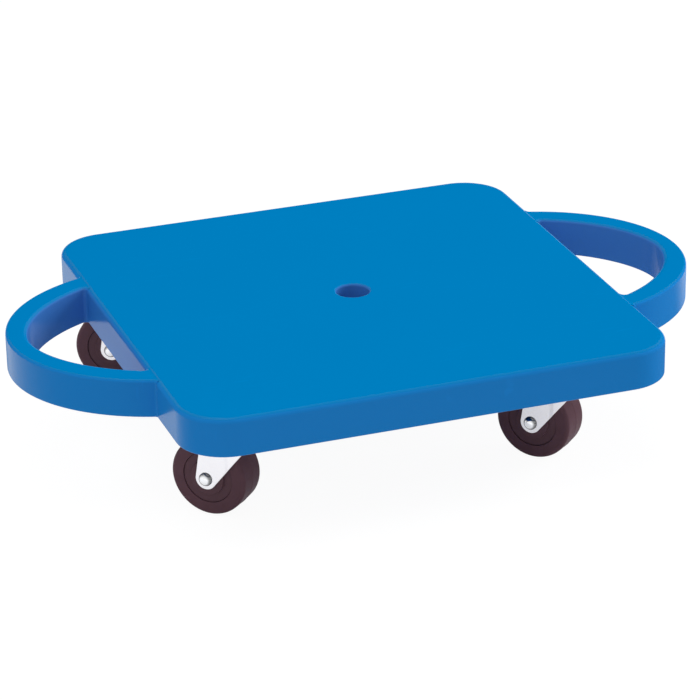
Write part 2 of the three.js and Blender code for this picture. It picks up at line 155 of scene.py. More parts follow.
def node(tree, kind, sources=(), **settings):
    """A new node with its settings, and its inputs linked or set by name or number."""
    added = tree.nodes.new("ShaderNode" + kind)
    for setting, value in settings.items():
        setattr(added, setting, value)
    for name, source in dict(sources).items():
        feed(tree, added.inputs[name], source)
    return added


def calculate(tree, operation, *values):
    return node(tree, "Math", enumerate(values), operation=operation).outputs["Value"]


def between(tree, factor, low, high):
    """A value that goes from low to high as the factor goes from zero to one."""
    sources = {"Value": factor, "To Min": low, "To Max": high}
    return node(tree, "MapRange", sources).outputs["Result"]


def seen_directly(tree):
    """One where a ray comes from the camera, a polished surface or glass, else zero."""
    path = node(tree, "LightPath").outputs
    total = path["Is Camera Ray"]
    for kind in ("Is Glossy Ray", "Is Transmission Ray"):
        total = calculate(tree, "MAXIMUM", total, path[kind])
    return total


def empty_tree(owner):
    """The node tree of a new world or material, without its first nodes."""
    owner.use_nodes = True
    owner.node_tree.nodes.clear()
    return owner.node_tree


def white_world():
    world = bpy.data.worlds.new("studio")
    tree = empty_tree(world)
    strength = between(tree, seen_directly(tree), AMBIENT, 1)
    background = node(tree, "Background", {"Color": WHITE, "Strength": strength})
    node(tree, "OutputWorld", {"Surface": background.outputs["Background"]})
    bpy.context.scene.world = world


white_world()
bpy.context.scene.view_settings.view_transform = "Standard"
print("the world is white, and lights at", AMBIENT)

# %% White floor
FLOOR_HALF = 6.0
FLOOR_WHITE = (0.8, 0.8, 0.8, 1)
SHADE_IN_METAL, SHADE_IN_VIEW = 0.65, 0.1
GLOW_IN_METAL, GLOW_IN_VIEW = 0.6, 0.945
SCREEN_SIDE, SCREEN_BACK, SCREENED = (0.14, 0.24), (0, 0.12), 0.08


def coordinates(tree, kind="Object"):
    """A piece's own place, its normal, or its place as a share of the whole piece."""
    return node(tree, "TexCoord").outputs[kind]


def split(tree, vector):
    """The X, Y and Z of a vector."""
    return node(tree, "SeparateXYZ", {"Vector": vector}).outputs


def rise(tree, value, low, high, curve="SMOOTHSTEP"):
    """Zero below low, one above high, and a step between them that is soft or straight."""
    sources = {"Value": value, "From Min": low, "From Max": high}
    return node(tree, "MapRange", sources, interpolation_type=curve).outputs["Result"]


def screened(tree):
    """One on the floor at the front right, as if a grey screen stood there, else zero."""
    place = split(tree, coordinates(tree))
    to_right = rise(tree, place["X"], *SCREEN_SIDE, "LINEAR")
    return between(tree, rise(tree, place["Y"], *SCREEN_BACK, "LINEAR"), to_right, 0)


def floor_material():
    """Plain white to the lamps, with its own shade and glow for the camera and the metal."""
    material = bpy.data.materials.new("white sweep")
    tree = empty_tree(material)
    in_view = node(tree, "LightPath").outputs["Is Camera Ray"]
    screen = screened(tree)
    shown = []
    for kind, socket, mirrored, viewed in (
        ("BsdfDiffuse", "Color", SHADE_IN_METAL, SHADE_IN_VIEW),
        ("Emission", "Strength", GLOW_IN_METAL, GLOW_IN_VIEW),
    ):
        in_metal = between(tree, screen, mirrored, mirrored * SCREENED)
        source = {socket: between(tree, in_view, in_metal, viewed)}
        shown.append(node(tree, kind, source).outputs[0])
    both = node(tree, "AddShader", enumerate(shown)).outputs["Shader"]
    lit = node(tree, "BsdfDiffuse", {"Color": FLOOR_WHITE}).outputs["BSDF"]
    choice = node(tree, "MixShader", {0: seen_directly(tree), 1: lit, 2: both})
    node(tree, "OutputMaterial", {"Surface": choice.outputs["Shader"]})
    return material


def make_floor():
    mesh = bpy.data.meshes.new("floor")
    corners = [(-1, -1), (1, -1), (1, 1), (-1, 1)]
    mesh.from_pydata([(x * FLOOR_HALF, y * FLOOR_HALF, 0) for x, y in corners], [], [range(4)])
    mesh.materials.append(floor_material())
    in_scene("floor", mesh)


make_floor()
print("floor, in metres:", 2 * FLOOR_HALF)

# %% Softboxes
OVERHEAD_PLACE, OVERHEAD_SIDE, OVERHEAD_WATTS = (-0.6, -0.2, 2.1), 1.8, 17.6
RIGHT_PLACE, RIGHT_SIDE, RIGHT_WATTS = (2.3, 0.1, 0.8), 1.4, 31


def softbox(name, place, side, power):
    """A square lamp that looks at the board."""
    data = bpy.data.lights.new(name, "AREA")
    data.shape = "SQUARE"
    data.size = side
    data.energy = power
    lamp = in_scene(name, data)
    lamp.location = place
    lamp.rotation_euler = (board_middle - lamp.location).to_track_quat("-Z", "Y").to_euler()
    return lamp


softbox("overhead softbox", OVERHEAD_PLACE, OVERHEAD_SIDE, OVERHEAD_WATTS)
from_right = softbox("right softbox", RIGHT_PLACE, RIGHT_SIDE, RIGHT_WATTS)
# The walls would mirror this lamp as a bright patch that the photograph doesn't show.
from_right.visible_glossy = False
print("softboxes, in W:", OVERHEAD_WATTS, "and", RIGHT_WATTS)

# %% [markdown]
# Effects that several finishes share
#
# Every surface here is plain at first sight, yet none of them is one flat colour. The mould
# leaves a fine grain, the colour drifts a little, handling leaves faint scuffs, and plated
# steel has a crystalline sparkle. Painted images could carry these, but they would need a
# map for every piece. Noise in the piece's own space needs none and has no seams, so each
# effect is built once as a node group, and each finish places it with its own numbers.

# %% Products, noise and node groups
def product(tree, first, *others):
    """The values or outputs multiplied with each other."""
    for other in others:
        first = calculate(tree, "MULTIPLY", first, other)
    return first


def noise(tree, place, scale, detail):
    sources = {"Vector": place, "Scale": scale, "Detail": detail}
    return node(tree, "TexNoise", sources).outputs["Fac"]


def effect(name, inputs, outputs):
    """A new node group with named number sockets, and the sockets of its two end nodes."""
    group = bpy.data.node_groups.new(name, "ShaderNodeTree")
    for label, value in inputs.items():
        socket = group.interface.new_socket(label, in_out="INPUT", socket_type="NodeSocketFloat")
        socket.default_value = value
    for label in outputs:
        group.interface.new_socket(label, in_out="OUTPUT", socket_type="NodeSocketFloat")
    given = group.nodes.new("NodeGroupInput").outputs
    return group, given, group.nodes.new("NodeGroupOutput").inputs


def placed(tree, group, **values):
    """An effect placed in a material, with its own values."""
    return node(tree, "Group", values, node_tree=group).outputs


print("node helpers are ready")

# %% Moulded grain
SWELL_SCALE, SWELL_HEIGHT = 0.27, 0.6


def moulded_grain():
    """The pebbled skin that a spark-eroded mould gives to plastic and rubber."""
    group, given, result = effect("moulded grain", {"Scale": 1300}, ["Height"])
    place = coordinates(group)
    pebbles = noise(group, place, given["Scale"], 1)
    swells = noise(group, place, product(group, given["Scale"], SWELL_SCALE), 2)
    height = calculate(group, "MULTIPLY_ADD", swells, SWELL_HEIGHT, pebbles)
    feed(group, result["Height"], height)
    return group


grain_effect = moulded_grain()
print("effect:", grain_effect.name)

# %% Tone drift
def tone_drift():
    """A slow change of lightness, such as uneven pigment or handling leaves."""
    group, given, result = effect("tone drift", {"Scale": 10, "Depth": 0.02}, ["Tone"])
    swing = between(group, noise(group, coordinates(group), given["Scale"], 3), -1, 1)
    feed(group, result["Tone"], calculate(group, "MULTIPLY_ADD", swing, given["Depth"], 1))
    return group


drift_effect = tone_drift()
print("effect:", drift_effect.name)

# %% Faint scuffs
STREAK_TILT, STREAK_STEP = (0.3, 0.2), (0.66, 0.72)
STREAK_WAYS = (0.5, 14), (-0.9, 11)
PATCH_SCALE, PATCH_STEP = 0.25, (0.48, 0.62)


def streaks(group, scale, turn, stretch):
    """Thin streaks that all run one way."""
    sources = {"Vector": coordinates(group), "Scale": (1, stretch, 1)}
    sources["Rotation"] = (*STREAK_TILT, turn)
    laid = node(group, "Mapping", sources).outputs["Vector"]
    return rise(group, noise(group, laid, scale, 3), *STREAK_STEP)


def faint_scuffs():
    """Short rub marks in two directions, where a slow noise lets them show."""
    group, given, result = effect("faint scuffs", {"Scale": 60}, ["Mask"])
    marks = [streaks(group, given["Scale"], turn, stretch) for turn, stretch in STREAK_WAYS]
    patches = noise(group, coordinates(group), product(group, given["Scale"], PATCH_SCALE), 1)
    shown = rise(group, patches, *PATCH_STEP)
    feed(group, result["Mask"], product(group, calculate(group, "MAXIMUM", *marks), shown))
    return group


scuff_effect = faint_scuffs()
print("effect:", scuff_effect.name)

# %% Metal crystals
CRYSTAL_FINENESS = 2.3


def metal_crystals():
    """The fine sparkle of a plated or polished metal skin: its height and its dullness."""
    group, given, result = effect("metal crystals", {"Scale": 900}, ["Height", "Dullness"])
    place = coordinates(group)
    cells = node(group, "TexVoronoi", {"Vector": place, "Scale": given["Scale"]}, feature="F1")
    height = noise(group, place, product(group, given["Scale"], CRYSTAL_FINENESS), 2)
    feed(group, result["Height"], height)
    feed(group, result["Dullness"], cells.outputs["Distance"])
    return group


crystal_effect = metal_crystals()
print("effect:", crystal_effect.name)

# %% [markdown]
# Blue plastic
#
# The deck is a saturated blue polyethylene that stays deep in colour when seen from above,
# and turns pale only where a wall is seen at a glancing angle and mirrors the white room.
# A plain glossy plastic would veil the whole top with a grey sheen. So the base has no gloss
# of its own, and a clear coat comes up with the angle to carry those reflections. The walls
# of the hand gaps and the hole are left by rougher cores, so they get less of that coat.
# The base colour also holds painted light. The top is a lit blue. The walls are bluer, as
# painted bounce light in their shade, with a trace of red as a faint painted reflection. The
# walls of the gaps and the hole are a little purple, as painted light bounced between them.

# %% Parts of a finish
finishes = {}


def new_finish(slot, name):
    """A material's node tree and its shader's inputs, kept under the slot it belongs to."""
    material = bpy.data.materials.new(name)
    material.use_nodes = True
    finishes[slot] = material
    return material.node_tree, material.node_tree.nodes["Principled BSDF"].inputs


def toned(tree, colour, *tones):
    """A colour made lighter or darker by the product of some tones."""
    sources = {"Color": colour, "Value": product(tree, *tones)}
    return node(tree, "HueSaturation", sources).outputs["Color"]


def raised_by(tree, height, depth):
    """A normal for a height of one over a depth in metres."""
    return node(tree, "Bump", {"Distance": depth, "Height": height}).outputs["Normal"]


def mixed(tree, share, first, second):
    """The first colour, going over to the second as the share rises to one."""
    sources = {"Factor": share, "A": first, "B": second}
    return node(tree, "Mix", sources, data_type="RGBA").outputs["Result"]


print("finishes can be toned, raised and mixed")

# %% Matt walls of the gaps and the hole, with painted bounce light
GAP_MIDDLE, GAP_HALF, GAP_END = 175 * MM, 78 * MM, 8 * MM
INWARD_STEP = 0, 3 * MM
DECK_WALL_STEP = deck_high.y - 2 * MM, deck_high.y + 1.5 * MM
HOLE_REACH, HOLE_STEP = 12 * MM, 1 * MM


def in_gap(tree):
    """One on the walls of the hand gaps and the hole, left matt by the cores, with painted bounce
    light.
    """
    place, normal = (split(tree, coordinates(tree, kind)) for kind in ("Object", "Normal"))
    aside, along = (calculate(tree, "ABSOLUTE", place[axis]) for axis in "XY")
    outward = product(tree, normal["X"], calculate(tree, "SIGN", place["X"]))
    across = product(tree, calculate(tree, "SUBTRACT", aside, GAP_MIDDLE), outward)
    away = calculate(tree, "MULTIPLY_ADD", place["Y"], normal["Y"], across)
    inward = rise(tree, product(tree, away, -1), *INWARD_STEP)
    beside = between(tree, rise(tree, along, GAP_HALF, GAP_HALF + GAP_END), 1, 0)
    hand_gap = product(tree, inward, beside, rise(tree, aside, *DECK_WALL_STEP))
    middle = calculate(tree, "MAXIMUM", aside, along)
    hole = between(tree, rise(tree, middle, HOLE_REACH, HOLE_REACH + HOLE_STEP), 1, 0)
    return calculate(tree, "MAXIMUM", hand_gap, hole)


print("hand gap ends, in mm from the middle:", round((GAP_HALF + GAP_END) / MM))

# %% Clear skin
ASLANT_STEP, WALL_SKIN = (0.22, 0.74), (0.08, 0.64)
GRAZING_STEP, GRAZING_SKIN, GAP_SKIN = (0.78, 0.96), 0.4, 0.44
LEVEL_STEP, TOP_STEP = (0.1, 0.4), (0.7, 0.9)
EDGE_START, EDGE_END, EDGE_FACING, EDGE_SKIN = (0.76, 0.88), (0.96, 0.995), (0.5, 0.7), 0.22


def clear_skin(tree, upward, gap):
    """How much clear skin shows: much on a wall seen aslant, and hardly any on the top.

    Handling polishes the rounded edges, so those that face us catch the lamp as a line."""
    facing = node(tree, "LayerWeight").outputs["Facing"]
    aslant = between(tree, rise(tree, facing, *ASLANT_STEP), *WALL_SKIN)
    fading = between(tree, rise(tree, facing, *GRAZING_STEP), 1, GRAZING_SKIN)
    on_wall = product(tree, aslant, fading, between(tree, gap, 1, GAP_SKIN))
    on_top = rise(tree, facing, *TOP_STEP)
    plain = between(tree, rise(tree, upward, *LEVEL_STEP), on_wall, on_top)
    before_top = between(tree, rise(tree, upward, *EDGE_END), 1, 0)
    on_edge = product(tree, rise(tree, upward, *EDGE_START), before_top)
    gloss = between(tree, rise(tree, facing, *EDGE_FACING), EDGE_SKIN, 0)
    return calculate(tree, "MAXIMUM", plain, product(tree, on_edge, gloss))


print("clear skin on the walls:", WALL_SKIN)

# %% Blue plastic
# Painted light: a lit blue for the top, and walls bluer as painted bounce light in their shade.
LIT_TOP_BLUE = (0.0, 0.231, 0.577, 1)
SHADED_WALL_BLUE = (0.014, 0.236, 0.66, 1)
# The walls of the gaps and the hole are a little purple: painted light bounced between them.
GAP_BOUNCE_BLUE = (0.056, 0.216, 0.61, 1)
LIT_TOP_STEP = 0.6, 0.92
DECK_GRAIN, DECK_SCUFF_TONE, DECK_ROUGHNESS, SKIN_ROUGHNESS = 0.006 * MM, 1.06, (0.38, 0.5), 0.18


def blue_plastic():
    tree, shader = new_finish("deck_plastic", "blue plastic")
    grain = placed(tree, grain_effect, Scale=1500)["Height"]
    drift = placed(tree, drift_effect, Scale=11, Depth=0.012)["Tone"]
    scuffs = placed(tree, scuff_effect, Scale=55)["Mask"]
    upward = split(tree, coordinates(tree, "Normal"))["Z"]
    gap = in_gap(tree)
    # Painted light in the colour: bounce light on the shaded walls and in the gaps, a lit blue on
    # top.
    wall = mixed(tree, gap, SHADED_WALL_BLUE, GAP_BOUNCE_BLUE)
    blue = mixed(tree, rise(tree, upward, *LIT_TOP_STEP), wall, LIT_TOP_BLUE)
    scuffed = between(tree, scuffs, 1, DECK_SCUFF_TONE)
    feed(tree, shader["Base Color"], toned(tree, blue, drift, scuffed))
    feed(tree, shader["Roughness"], between(tree, scuffs, *DECK_ROUGHNESS))
    shader["Specular IOR Level"].default_value = 0
    feed(tree, shader["Coat Weight"], clear_skin(tree, upward, gap))
    shader["Coat Roughness"].default_value = SKIN_ROUGHNESS
    feed(tree, shader["Normal"], raised_by(tree, grain, DECK_GRAIN))


blue_plastic()
print("finish:", finishes["deck_plastic"].name)

# %% [markdown]
# Steel
#
# The plates, forks, washers and nuts are bright zinc: a pale grey mirror, softened by the
# crystals of the plating. The axle bolts and screws are polished and reflect more sharply.
# Both are pure metals to the shader, with their crystals in the roughness and the bump.
# The foot of each bolt and screw head is darker in its colour, as painted shade.

# %% Zinc plate and polished steel
ZINC = (0.87, 0.86, 0.885, 1)
ZINC_HEIGHT, ZINC_ROUGHNESS = 0.0015 * MM, (0.15, 0.26)
ZINC_SCUFF_TONE, ZINC_SCUFF_ROUGHNESS = 0.93, 0.36
POLISHED = (0.88, 0.89, 0.91, 1)
POLISHED_HEIGHT, POLISHED_ROUGHNESS = 0.001 * MM, (0.08, 0.16)
# Painted shade at the foot of each polished head: where it starts, and how dark it gets.
HEAD_SHADE_STEP, HEAD_SHADE_TONE = (0.26, 0.44), 0.26


def zinc_steel():
    tree, shader = new_finish("zinc_steel", "bright zinc")
    crystals = placed(tree, crystal_effect, Scale=1100)
    drift = placed(tree, drift_effect, Scale=90, Depth=0.03)["Tone"]
    scuffs = placed(tree, scuff_effect, Scale=300)["Mask"]
    scuffed = between(tree, scuffs, 1, ZINC_SCUFF_TONE)
    feed(tree, shader["Base Color"], toned(tree, ZINC, drift, scuffed))
    shader["Metallic"].default_value = 1
    dull = between(tree, crystals["Dullness"], *ZINC_ROUGHNESS)
    rubbed = between(tree, scuffs, 0, ZINC_SCUFF_ROUGHNESS)
    feed(tree, shader["Roughness"], calculate(tree, "MAXIMUM", dull, rubbed))
    feed(tree, shader["Normal"], raised_by(tree, crystals["Height"], ZINC_HEIGHT))


def vector_math(tree, operation, *values):
    return node(tree, "VectorMath", enumerate(values), operation=operation).outputs


def painted_head_shade(tree):
    """A tone that darkens the foot of each head, as painted shade.

    Bolts and screws lie along different axes, so the nearer of the two counts."""
    middle = (0.5, 0.5, 0.5)
    centred = vector_math(tree, "SUBTRACT", coordinates(tree, "Generated"), middle)["Vector"]
    reaches = []
    for across in ((1, 0, 1), (1, 1, 0)):
        flat = vector_math(tree, "MULTIPLY", centred, across)["Vector"]
        reaches.append(vector_math(tree, "LENGTH", flat)["Value"])
    outward = rise(tree, calculate(tree, "MINIMUM", *reaches), *HEAD_SHADE_STEP)
    return between(tree, outward, 1, HEAD_SHADE_TONE)


def bright_steel():
    tree, shader = new_finish("bright_steel", "polished steel")
    crystals = placed(tree, crystal_effect, Scale=2600)
    drift = placed(tree, drift_effect, Scale=200, Depth=0.03)["Tone"]
    # The polished heads get painted shade towards their foot.
    feed(tree, shader["Base Color"], toned(tree, POLISHED, drift, painted_head_shade(tree)))
    shader["Metallic"].default_value = 1
    feed(tree, shader["Roughness"], between(tree, crystals["Dullness"], *POLISHED_ROUGHNESS))
    feed(tree, shader["Normal"], raised_by(tree, crystals["Height"], POLISHED_HEIGHT))


zinc_steel()
bright_steel()
print("finishes:", finishes["zinc_steel"].name, "and", finishes["bright_steel"].name)

# %% [markdown]
# Rubber and hub plastic
#
# The tyres are a brown-black rubber and the cores a harder plastic of nearly the same
# colour. Both are dark, but far from black: the room's light lies on them as a soft haze.
# The rubber is the rougher of the two, and its grain is coarser.

# %% Rubber and hub plastic
RUBBER = (0.137, 0.07, 0.087, 1)
RUBBER_GRAIN, RUBBER_SCUFF_TONE = 0.02 * MM, 1.35
RUBBER_ROUGHNESS, RUBBER_SPECULAR = (0.46, 0.62), 0.06
HUB_PLASTIC = (0.132, 0.069, 0.085, 1)
HUB_GRAIN, HUB_ROUGHNESS, HUB_SPECULAR = 0.01 * MM, 0.4, 0.08


def tyre_rubber():
    tree, shader = new_finish("tyre_rubber", "brown-black rubber")
    grain = placed(tree, grain_effect, Scale=1100)["Height"]
    drift = placed(tree, drift_effect, Scale=120, Depth=0.12)["Tone"]
    scuffs = placed(tree, scuff_effect, Scale=220)["Mask"]
    scuffed = between(tree, scuffs, 1, RUBBER_SCUFF_TONE)
    feed(tree, shader["Base Color"], toned(tree, RUBBER, drift, scuffed))
    feed(tree, shader["Roughness"], between(tree, scuffs, *RUBBER_ROUGHNESS))
    shader["Specular IOR Level"].default_value = RUBBER_SPECULAR
    feed(tree, shader["Normal"], raised_by(tree, grain, RUBBER_GRAIN))


def core_plastic():
    tree, shader = new_finish("core_plastic", "dark hub plastic")
    grain = placed(tree, grain_effect, Scale=1700)["Height"]
    drift = placed(tree, drift_effect, Scale=150, Depth=0.08)["Tone"]
    feed(tree, shader["Base Color"], toned(tree, HUB_PLASTIC, drift))
    shader["Roughness"].default_value = HUB_ROUGHNESS
    shader["Specular IOR Level"].default_value = HUB_SPECULAR
    feed(tree, shader["Normal"], raised_by(tree, grain, HUB_GRAIN))


tyre_rubber()
core_plastic()
print("finishes:", finishes["tyre_rubber"].name, "and", finishes["core_plastic"].name)

# %% [markdown]
# Outlines
#
# The moulding, its pockets and its hand gaps are flat outlines that are stacked at several
# heights, and the metal pieces are outlines that are turned about an axis. Bevel modifiers
# could round all their edges afterwards, but they fail where many edges meet. Here the
# outline itself is rounded or moved, which gives every edge a true round of a known radius.

# %% Outlines
FINE = math.radians(6)
SHARPEST_REACH, STRAIGHT, SIDE_SHARE = 0.5, math.radians(89), 0.49


def arc(centre, radius, start, end):
    """Points of an arc, its angles in radians, close enough together to look smooth."""
    steps = max(3, round(abs(end - start) / FINE))
    angles = [start + (end - start) * step / steps for step in range(steps + 1)]
    return [centre + radius * Vector((math.cos(a), math.sin(a))) for a in angles]


def offset(outline, distance):
    """A counter-clockwise outline moved outwards, or inwards by a negative distance."""
    shifted = []
    for i, point in enumerate(outline):
        before = (point - outline[i - 1]).normalized()
        after = (outline[(i + 1) % len(outline)] - point).normalized()
        normal = Vector((before.y + after.y, -before.x - after.x)).normalized()
        reach = max(normal.dot(Vector((after.y, -after.x))), SHARPEST_REACH)
        shifted.append(point + normal * distance / reach)
    return shifted


def rounded(corners):
    """An outline from corners (x, y, radius) in millimetres, each corner given its round."""
    outline = []
    for i, (x, y, radius) in enumerate(corners):
        corner = Vector((x, y))
        before = Vector(corners[i - 1][:2]) - corner
        after = Vector(corners[(i + 1) % len(corners)][:2]) - corner
        half = before.angle(after, math.pi) / 2
        if radius == 0 or half > STRAIGHT:
            outline.append(corner * MM)
            continue
        longest = SIDE_SHARE * min(before.length, after.length)
        length = min(radius / math.tan(half), longest)
        radius = length * math.tan(half)
        inward = (before.normalized() + after.normalized()).normalized()
        centre = corner + inward * radius / math.sin(half)
        first = corner + before.normalized() * length - centre
        last = corner + after.normalized() * length - centre
        start = math.atan2(first.y, first.x)
        turn = first.angle_signed(last)
        outline += [p * MM for p in arc(centre, radius, start, start - turn)]
    return outline


def rectangle(low_x, low_y, high_x, high_y, radius):
    """A counter-clockwise rectangle with rounded corners, in millimetres."""
    corners = [(low_x, low_y), (high_x, low_y), (high_x, high_y), (low_x, high_y)]
    return rounded([(x, y, radius) for x, y in corners])


print("a rounded square has", len(rectangle(0, 0, 10, 10, 1)), "points")

# %% [markdown]
# Solids
#
# A loft skins a stack of outlines, and a turning spins an outline about an axis. Larger
# shapes are made by joining and cutting these with boolean modifiers, which work well as
# long as every part is a closed solid. Keeping each step as a plain mesh, rather than a
# pile of live modifiers, lets one function take the result of another.

# %% Lofts and turnings
OVERRUN, WELD = 5, 0.0005 * MM
EDGE_STEPS = 6


def solid(name, vertices, faces):
    """A closed mesh whose faces all look outwards, its many-sided ends cut into triangles."""
    mesh = bpy.data.meshes.new(name)
    mesh.from_pydata(vertices, [], faces)
    work = bmesh.new()
    work.from_mesh(mesh)
    bmesh.ops.remove_doubles(work, verts=work.verts, dist=WELD)
    bmesh.ops.triangulate(work, faces=[face for face in work.faces if len(face.verts) > 4])
    bmesh.ops.recalc_face_normals(work, faces=work.faces)
    work.to_mesh(mesh)
    work.free()
    return mesh


def loft(name, sections):
    """A solid over outlines of equal length, each given with its height."""
    count = len(sections[0][0])
    vertices = [(p.x, p.y, z) for outline, z in sections for p in outline]
    faces = [list(range(count))]
    for start in range(0, len(vertices) - count, count):
        for i in range(count):
            a, b = start + i, start + (i + 1) % count
            faces.append([a, b, b + count, a + count])
    faces.append(list(range(len(vertices) - count, len(vertices))))
    return solid(name, vertices, faces)


def turned(name, corners, sides):
    """A solid that rounded corners (radius, height, round) sweep as they turn about Z."""
    outline = rounded(corners)
    count = len(outline)
    vertices = []
    for side in range(sides):
        angle = 2 * math.pi * side / sides
        vertices += [(p.x * math.cos(angle), p.x * math.sin(angle), p.y) for p in outline]
    faces = []
    for side in range(sides):
        here, there = side * count, (side + 1) % sides * count
        for i in range(count):
            j = (i + 1) % count
            if outline[i].x > 0 or outline[j].x > 0:
                faces.append([here + i, there + i, there + j, here + j])
    return solid(name, vertices, faces)


def body_sections(outline, bottom, top, foot_round, top_round):
    """Sections of a body whose foot and top edges are rounded."""
    turns = [math.pi / 2 * step / EDGE_STEPS for step in range(EDGE_STEPS + 1)]
    foot = [(foot_round * (1 - math.sin(a)), foot_round * (1 - math.cos(a))) for a in turns]
    head = [(top_round * (1 - math.cos(a)), top_round * (1 - math.sin(a))) for a in turns]
    sections = [(offset(outline, -inset), bottom + up) for inset, up in foot]
    return sections + [(offset(outline, -inset), top - down) for inset, down in head]


print("edges are rounded in", EDGE_STEPS, "steps")

# %% Joining and cutting
def applied(obj):
    """The mesh of an object with its modifiers applied."""
    shape = obj.evaluated_get(bpy.context.evaluated_depsgraph_get())
    return bpy.data.meshes.new_from_object(shape)


def combine(body, other, operation):
    """Join two solids, cut one from the other, or keep what they share."""
    objects = [in_scene("part of " + mesh.name, mesh) for mesh in (body, other)]
    step = objects[0].modifiers.new("combine", "BOOLEAN")
    step.operation = operation
    step.solver = "MANIFOLD"
    step.object = objects[1]
    result = applied(objects[0])
    for obj in objects:
        bpy.data.objects.remove(obj)
    return result


def joined(body, other):
    return combine(body, other, "UNION")


def cut(body, other):
    return combine(body, other, "DIFFERENCE")


def shared(body, other):
    return combine(body, other, "INTERSECT")


def several(meshes):
    """One mesh that holds several solids which don't touch each other."""
    work = bmesh.new()
    for mesh in meshes:
        work.from_mesh(mesh)
    result = bpy.data.meshes.new("several")
    work.to_mesh(result)
    work.free()
    return result


def moved(mesh, matrix):
    """A copy of a mesh, moved by a matrix."""
    result = mesh.copy()
    result.transform(matrix)
    return result


def by(x, y):
    """A move by x and y, in millimetres."""
    return Matrix.Translation((x * MM, y * MM, 0))


print("solids can be joined, cut, shared and moved")

# %% [markdown]
# From solid to piece
#
# Each finished solid still needs smooth shading, a finish and a place in the model. Shading
# every edge smooth would make flat faces look dented, and shading none would show the
# facets. So edges that bend by more than a set angle stay crisp, and a weighted normal
# modifier lets the large flat faces keep their own normals beside small rounds.

# %% Pieces
CRISP = math.radians(34)
made = []


def smooth(mesh):
    """Shade a mesh smooth, apart from its crisp edges."""
    work = bmesh.new()
    work.from_mesh(mesh)
    for face in work.faces:
        face.smooth = True
        face.material_index = 0
    for edge in work.edges:
        edge.smooth = edge.calc_face_angle(0) < CRISP
    work.to_mesh(mesh)
    work.free()


def place_piece(name, mesh, place, body, cad_node, slot):
    """Put a mesh where its CAD node is, on its body, in the finish of its slot."""
    piece = in_scene(name, mesh)
    piece.matrix_world = place
    piece.data.materials.clear()
    piece.data.materials.append(finishes[slot])
    even = piece.modifiers.new("even normals", "WEIGHTED_NORMAL")
    even.keep_sharp = True
    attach(piece, body)
    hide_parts(cad_node)
    made.append(piece)


print("pieces stay crisp above", round(math.degrees(CRISP)), "degrees")

# %% [markdown]
# The deck blank and its hand loops
#
# The deck is one moulding, about a foot square, with broad rounded corners and a soft edge
# that is kind to knees and hands. Each hand loop is half of a slightly flattened ring that
# grows out of the deck's side. We could model the loops as bent bars, but a moulder cuts
# both curves as ovals, so we draw the same ovals and let small fillets run them into the
# deck's wall, as the mould needs there. The gap opens a little towards the top, so that its
# core can be drawn, and the loop's edges are rounder on that side, where the fingers close.

# %% Deck blank
DECK_CORNER, DECK_TOP_ROUND, DECK_FOOT_ROUND = 30, 3.5, 1
deck_half, deck_foot, deck_top = deck_high.y / MM, deck_low.z / MM, deck_high.z / MM
deck_outline = rectangle(-deck_half, -deck_half, deck_half, deck_half, DECK_CORNER)
deck_sections = body_sections(
    deck_outline, deck_low.z, deck_high.z, DECK_FOOT_ROUND * MM, DECK_TOP_ROUND * MM
)
deck_blank = loft("deck blank", deck_sections)
print("deck side, in mm:", round(2 * deck_half, 1))

# %% Ovals of a hand loop
LOOP_REACH = 66.2 * MM
LOOP_INSET = 36 * MM
LOOP_HALF = 89.9 * MM
LOOP_BAND = 14 * MM
LOOP_POWER, GAP_POWER = 2, 1.82
LOOP_POINTS = 180


def oval(half_x, half_y, power):
    """An oval round the loop's centre: an ellipse at a power of two, and leaner below."""
    centre = deck_high.y - LOOP_INSET
    outline = []
    for i in range(LOOP_POINTS):
        angle = 2 * math.pi * (i + 0.5) / LOOP_POINTS
        x, y = math.cos(angle), math.sin(angle)
        x = math.copysign(abs(x) ** (2 / power), x)
        y = math.copysign(abs(y) ** (2 / power), y)
        outline.append(Vector((centre + x * half_x, y * half_y)))
    return outline


loop_reach = LOOP_REACH + LOOP_INSET
loop_oval = oval(loop_reach, LOOP_HALF, LOOP_POWER)
gap_oval = oval(loop_reach - LOOP_BAND, LOOP_HALF - LOOP_BAND, GAP_POWER)
print("hand loop reaches out, in mm:", round(LOOP_REACH / MM, 1))

# %% Faired outline of a hand loop
ROOT_FILLET = 2 * MM
TUCK = 0.02 * MM
LOOP_DEPTH = 8 * MM
LOOP_TOP_DROP, LOOP_TOP_ROUND, LOOP_FOOT_ROUND = 0.15 * MM, 2 * MM, 1 * MM
GRIP_SOFTNESS = 1.5
GRIP_DRAFT, GRIP_SPREAD = 0.028, 0.006


def rooted(curve, wall, fillet, way):
    """The curve from its outermost point to the wall, with a fillet at its root.

    The way is 1 for the loop's outside, and -1 for the gap."""
    centres = offset(curve, way * fillet)
    line = wall + fillet
    i = next(i for i in range(len(curve)) if centres[i + 1].x < line)
    share = (centres[i].x - line) / (centres[i].x - centres[i + 1].x)
    centre = centres[i].lerp(centres[i + 1], share)
    touch = curve[i].lerp(curve[i + 1], share) - centre
    root = arc(centre, fillet, math.atan2(touch.y, touch.x), -way * math.pi)
    return curve[: i + 1] + root


def band_outline(outside, tucked, inside):
    """Out along one curve, across at the wall and back along the other, then mirrored."""
    half = outside + tucked + inside[::-1]
    return half + [Vector((p.x, -p.y)) for p in reversed(half)]


def comfortable(sections, outline, first):
    """The same sections, with a gap side that opens upward and is rounder, for the fingers."""
    eased = []
    for points, height in sections:
        share = (height - deck_low.z) / (deck_high.z - deck_low.z)
        points = list(points)
        for i in range(first, len(points) - first):
            p = outline[i] + (points[i] - outline[i]) * GRIP_SOFTNESS
            reach = (p.x - loop_wall) * (1 + GRIP_DRAFT * share)
            points[i] = Vector((loop_wall + reach, p.y * (1 + GRIP_SPREAD * share)))
        eased.append((points, height))
    return eased


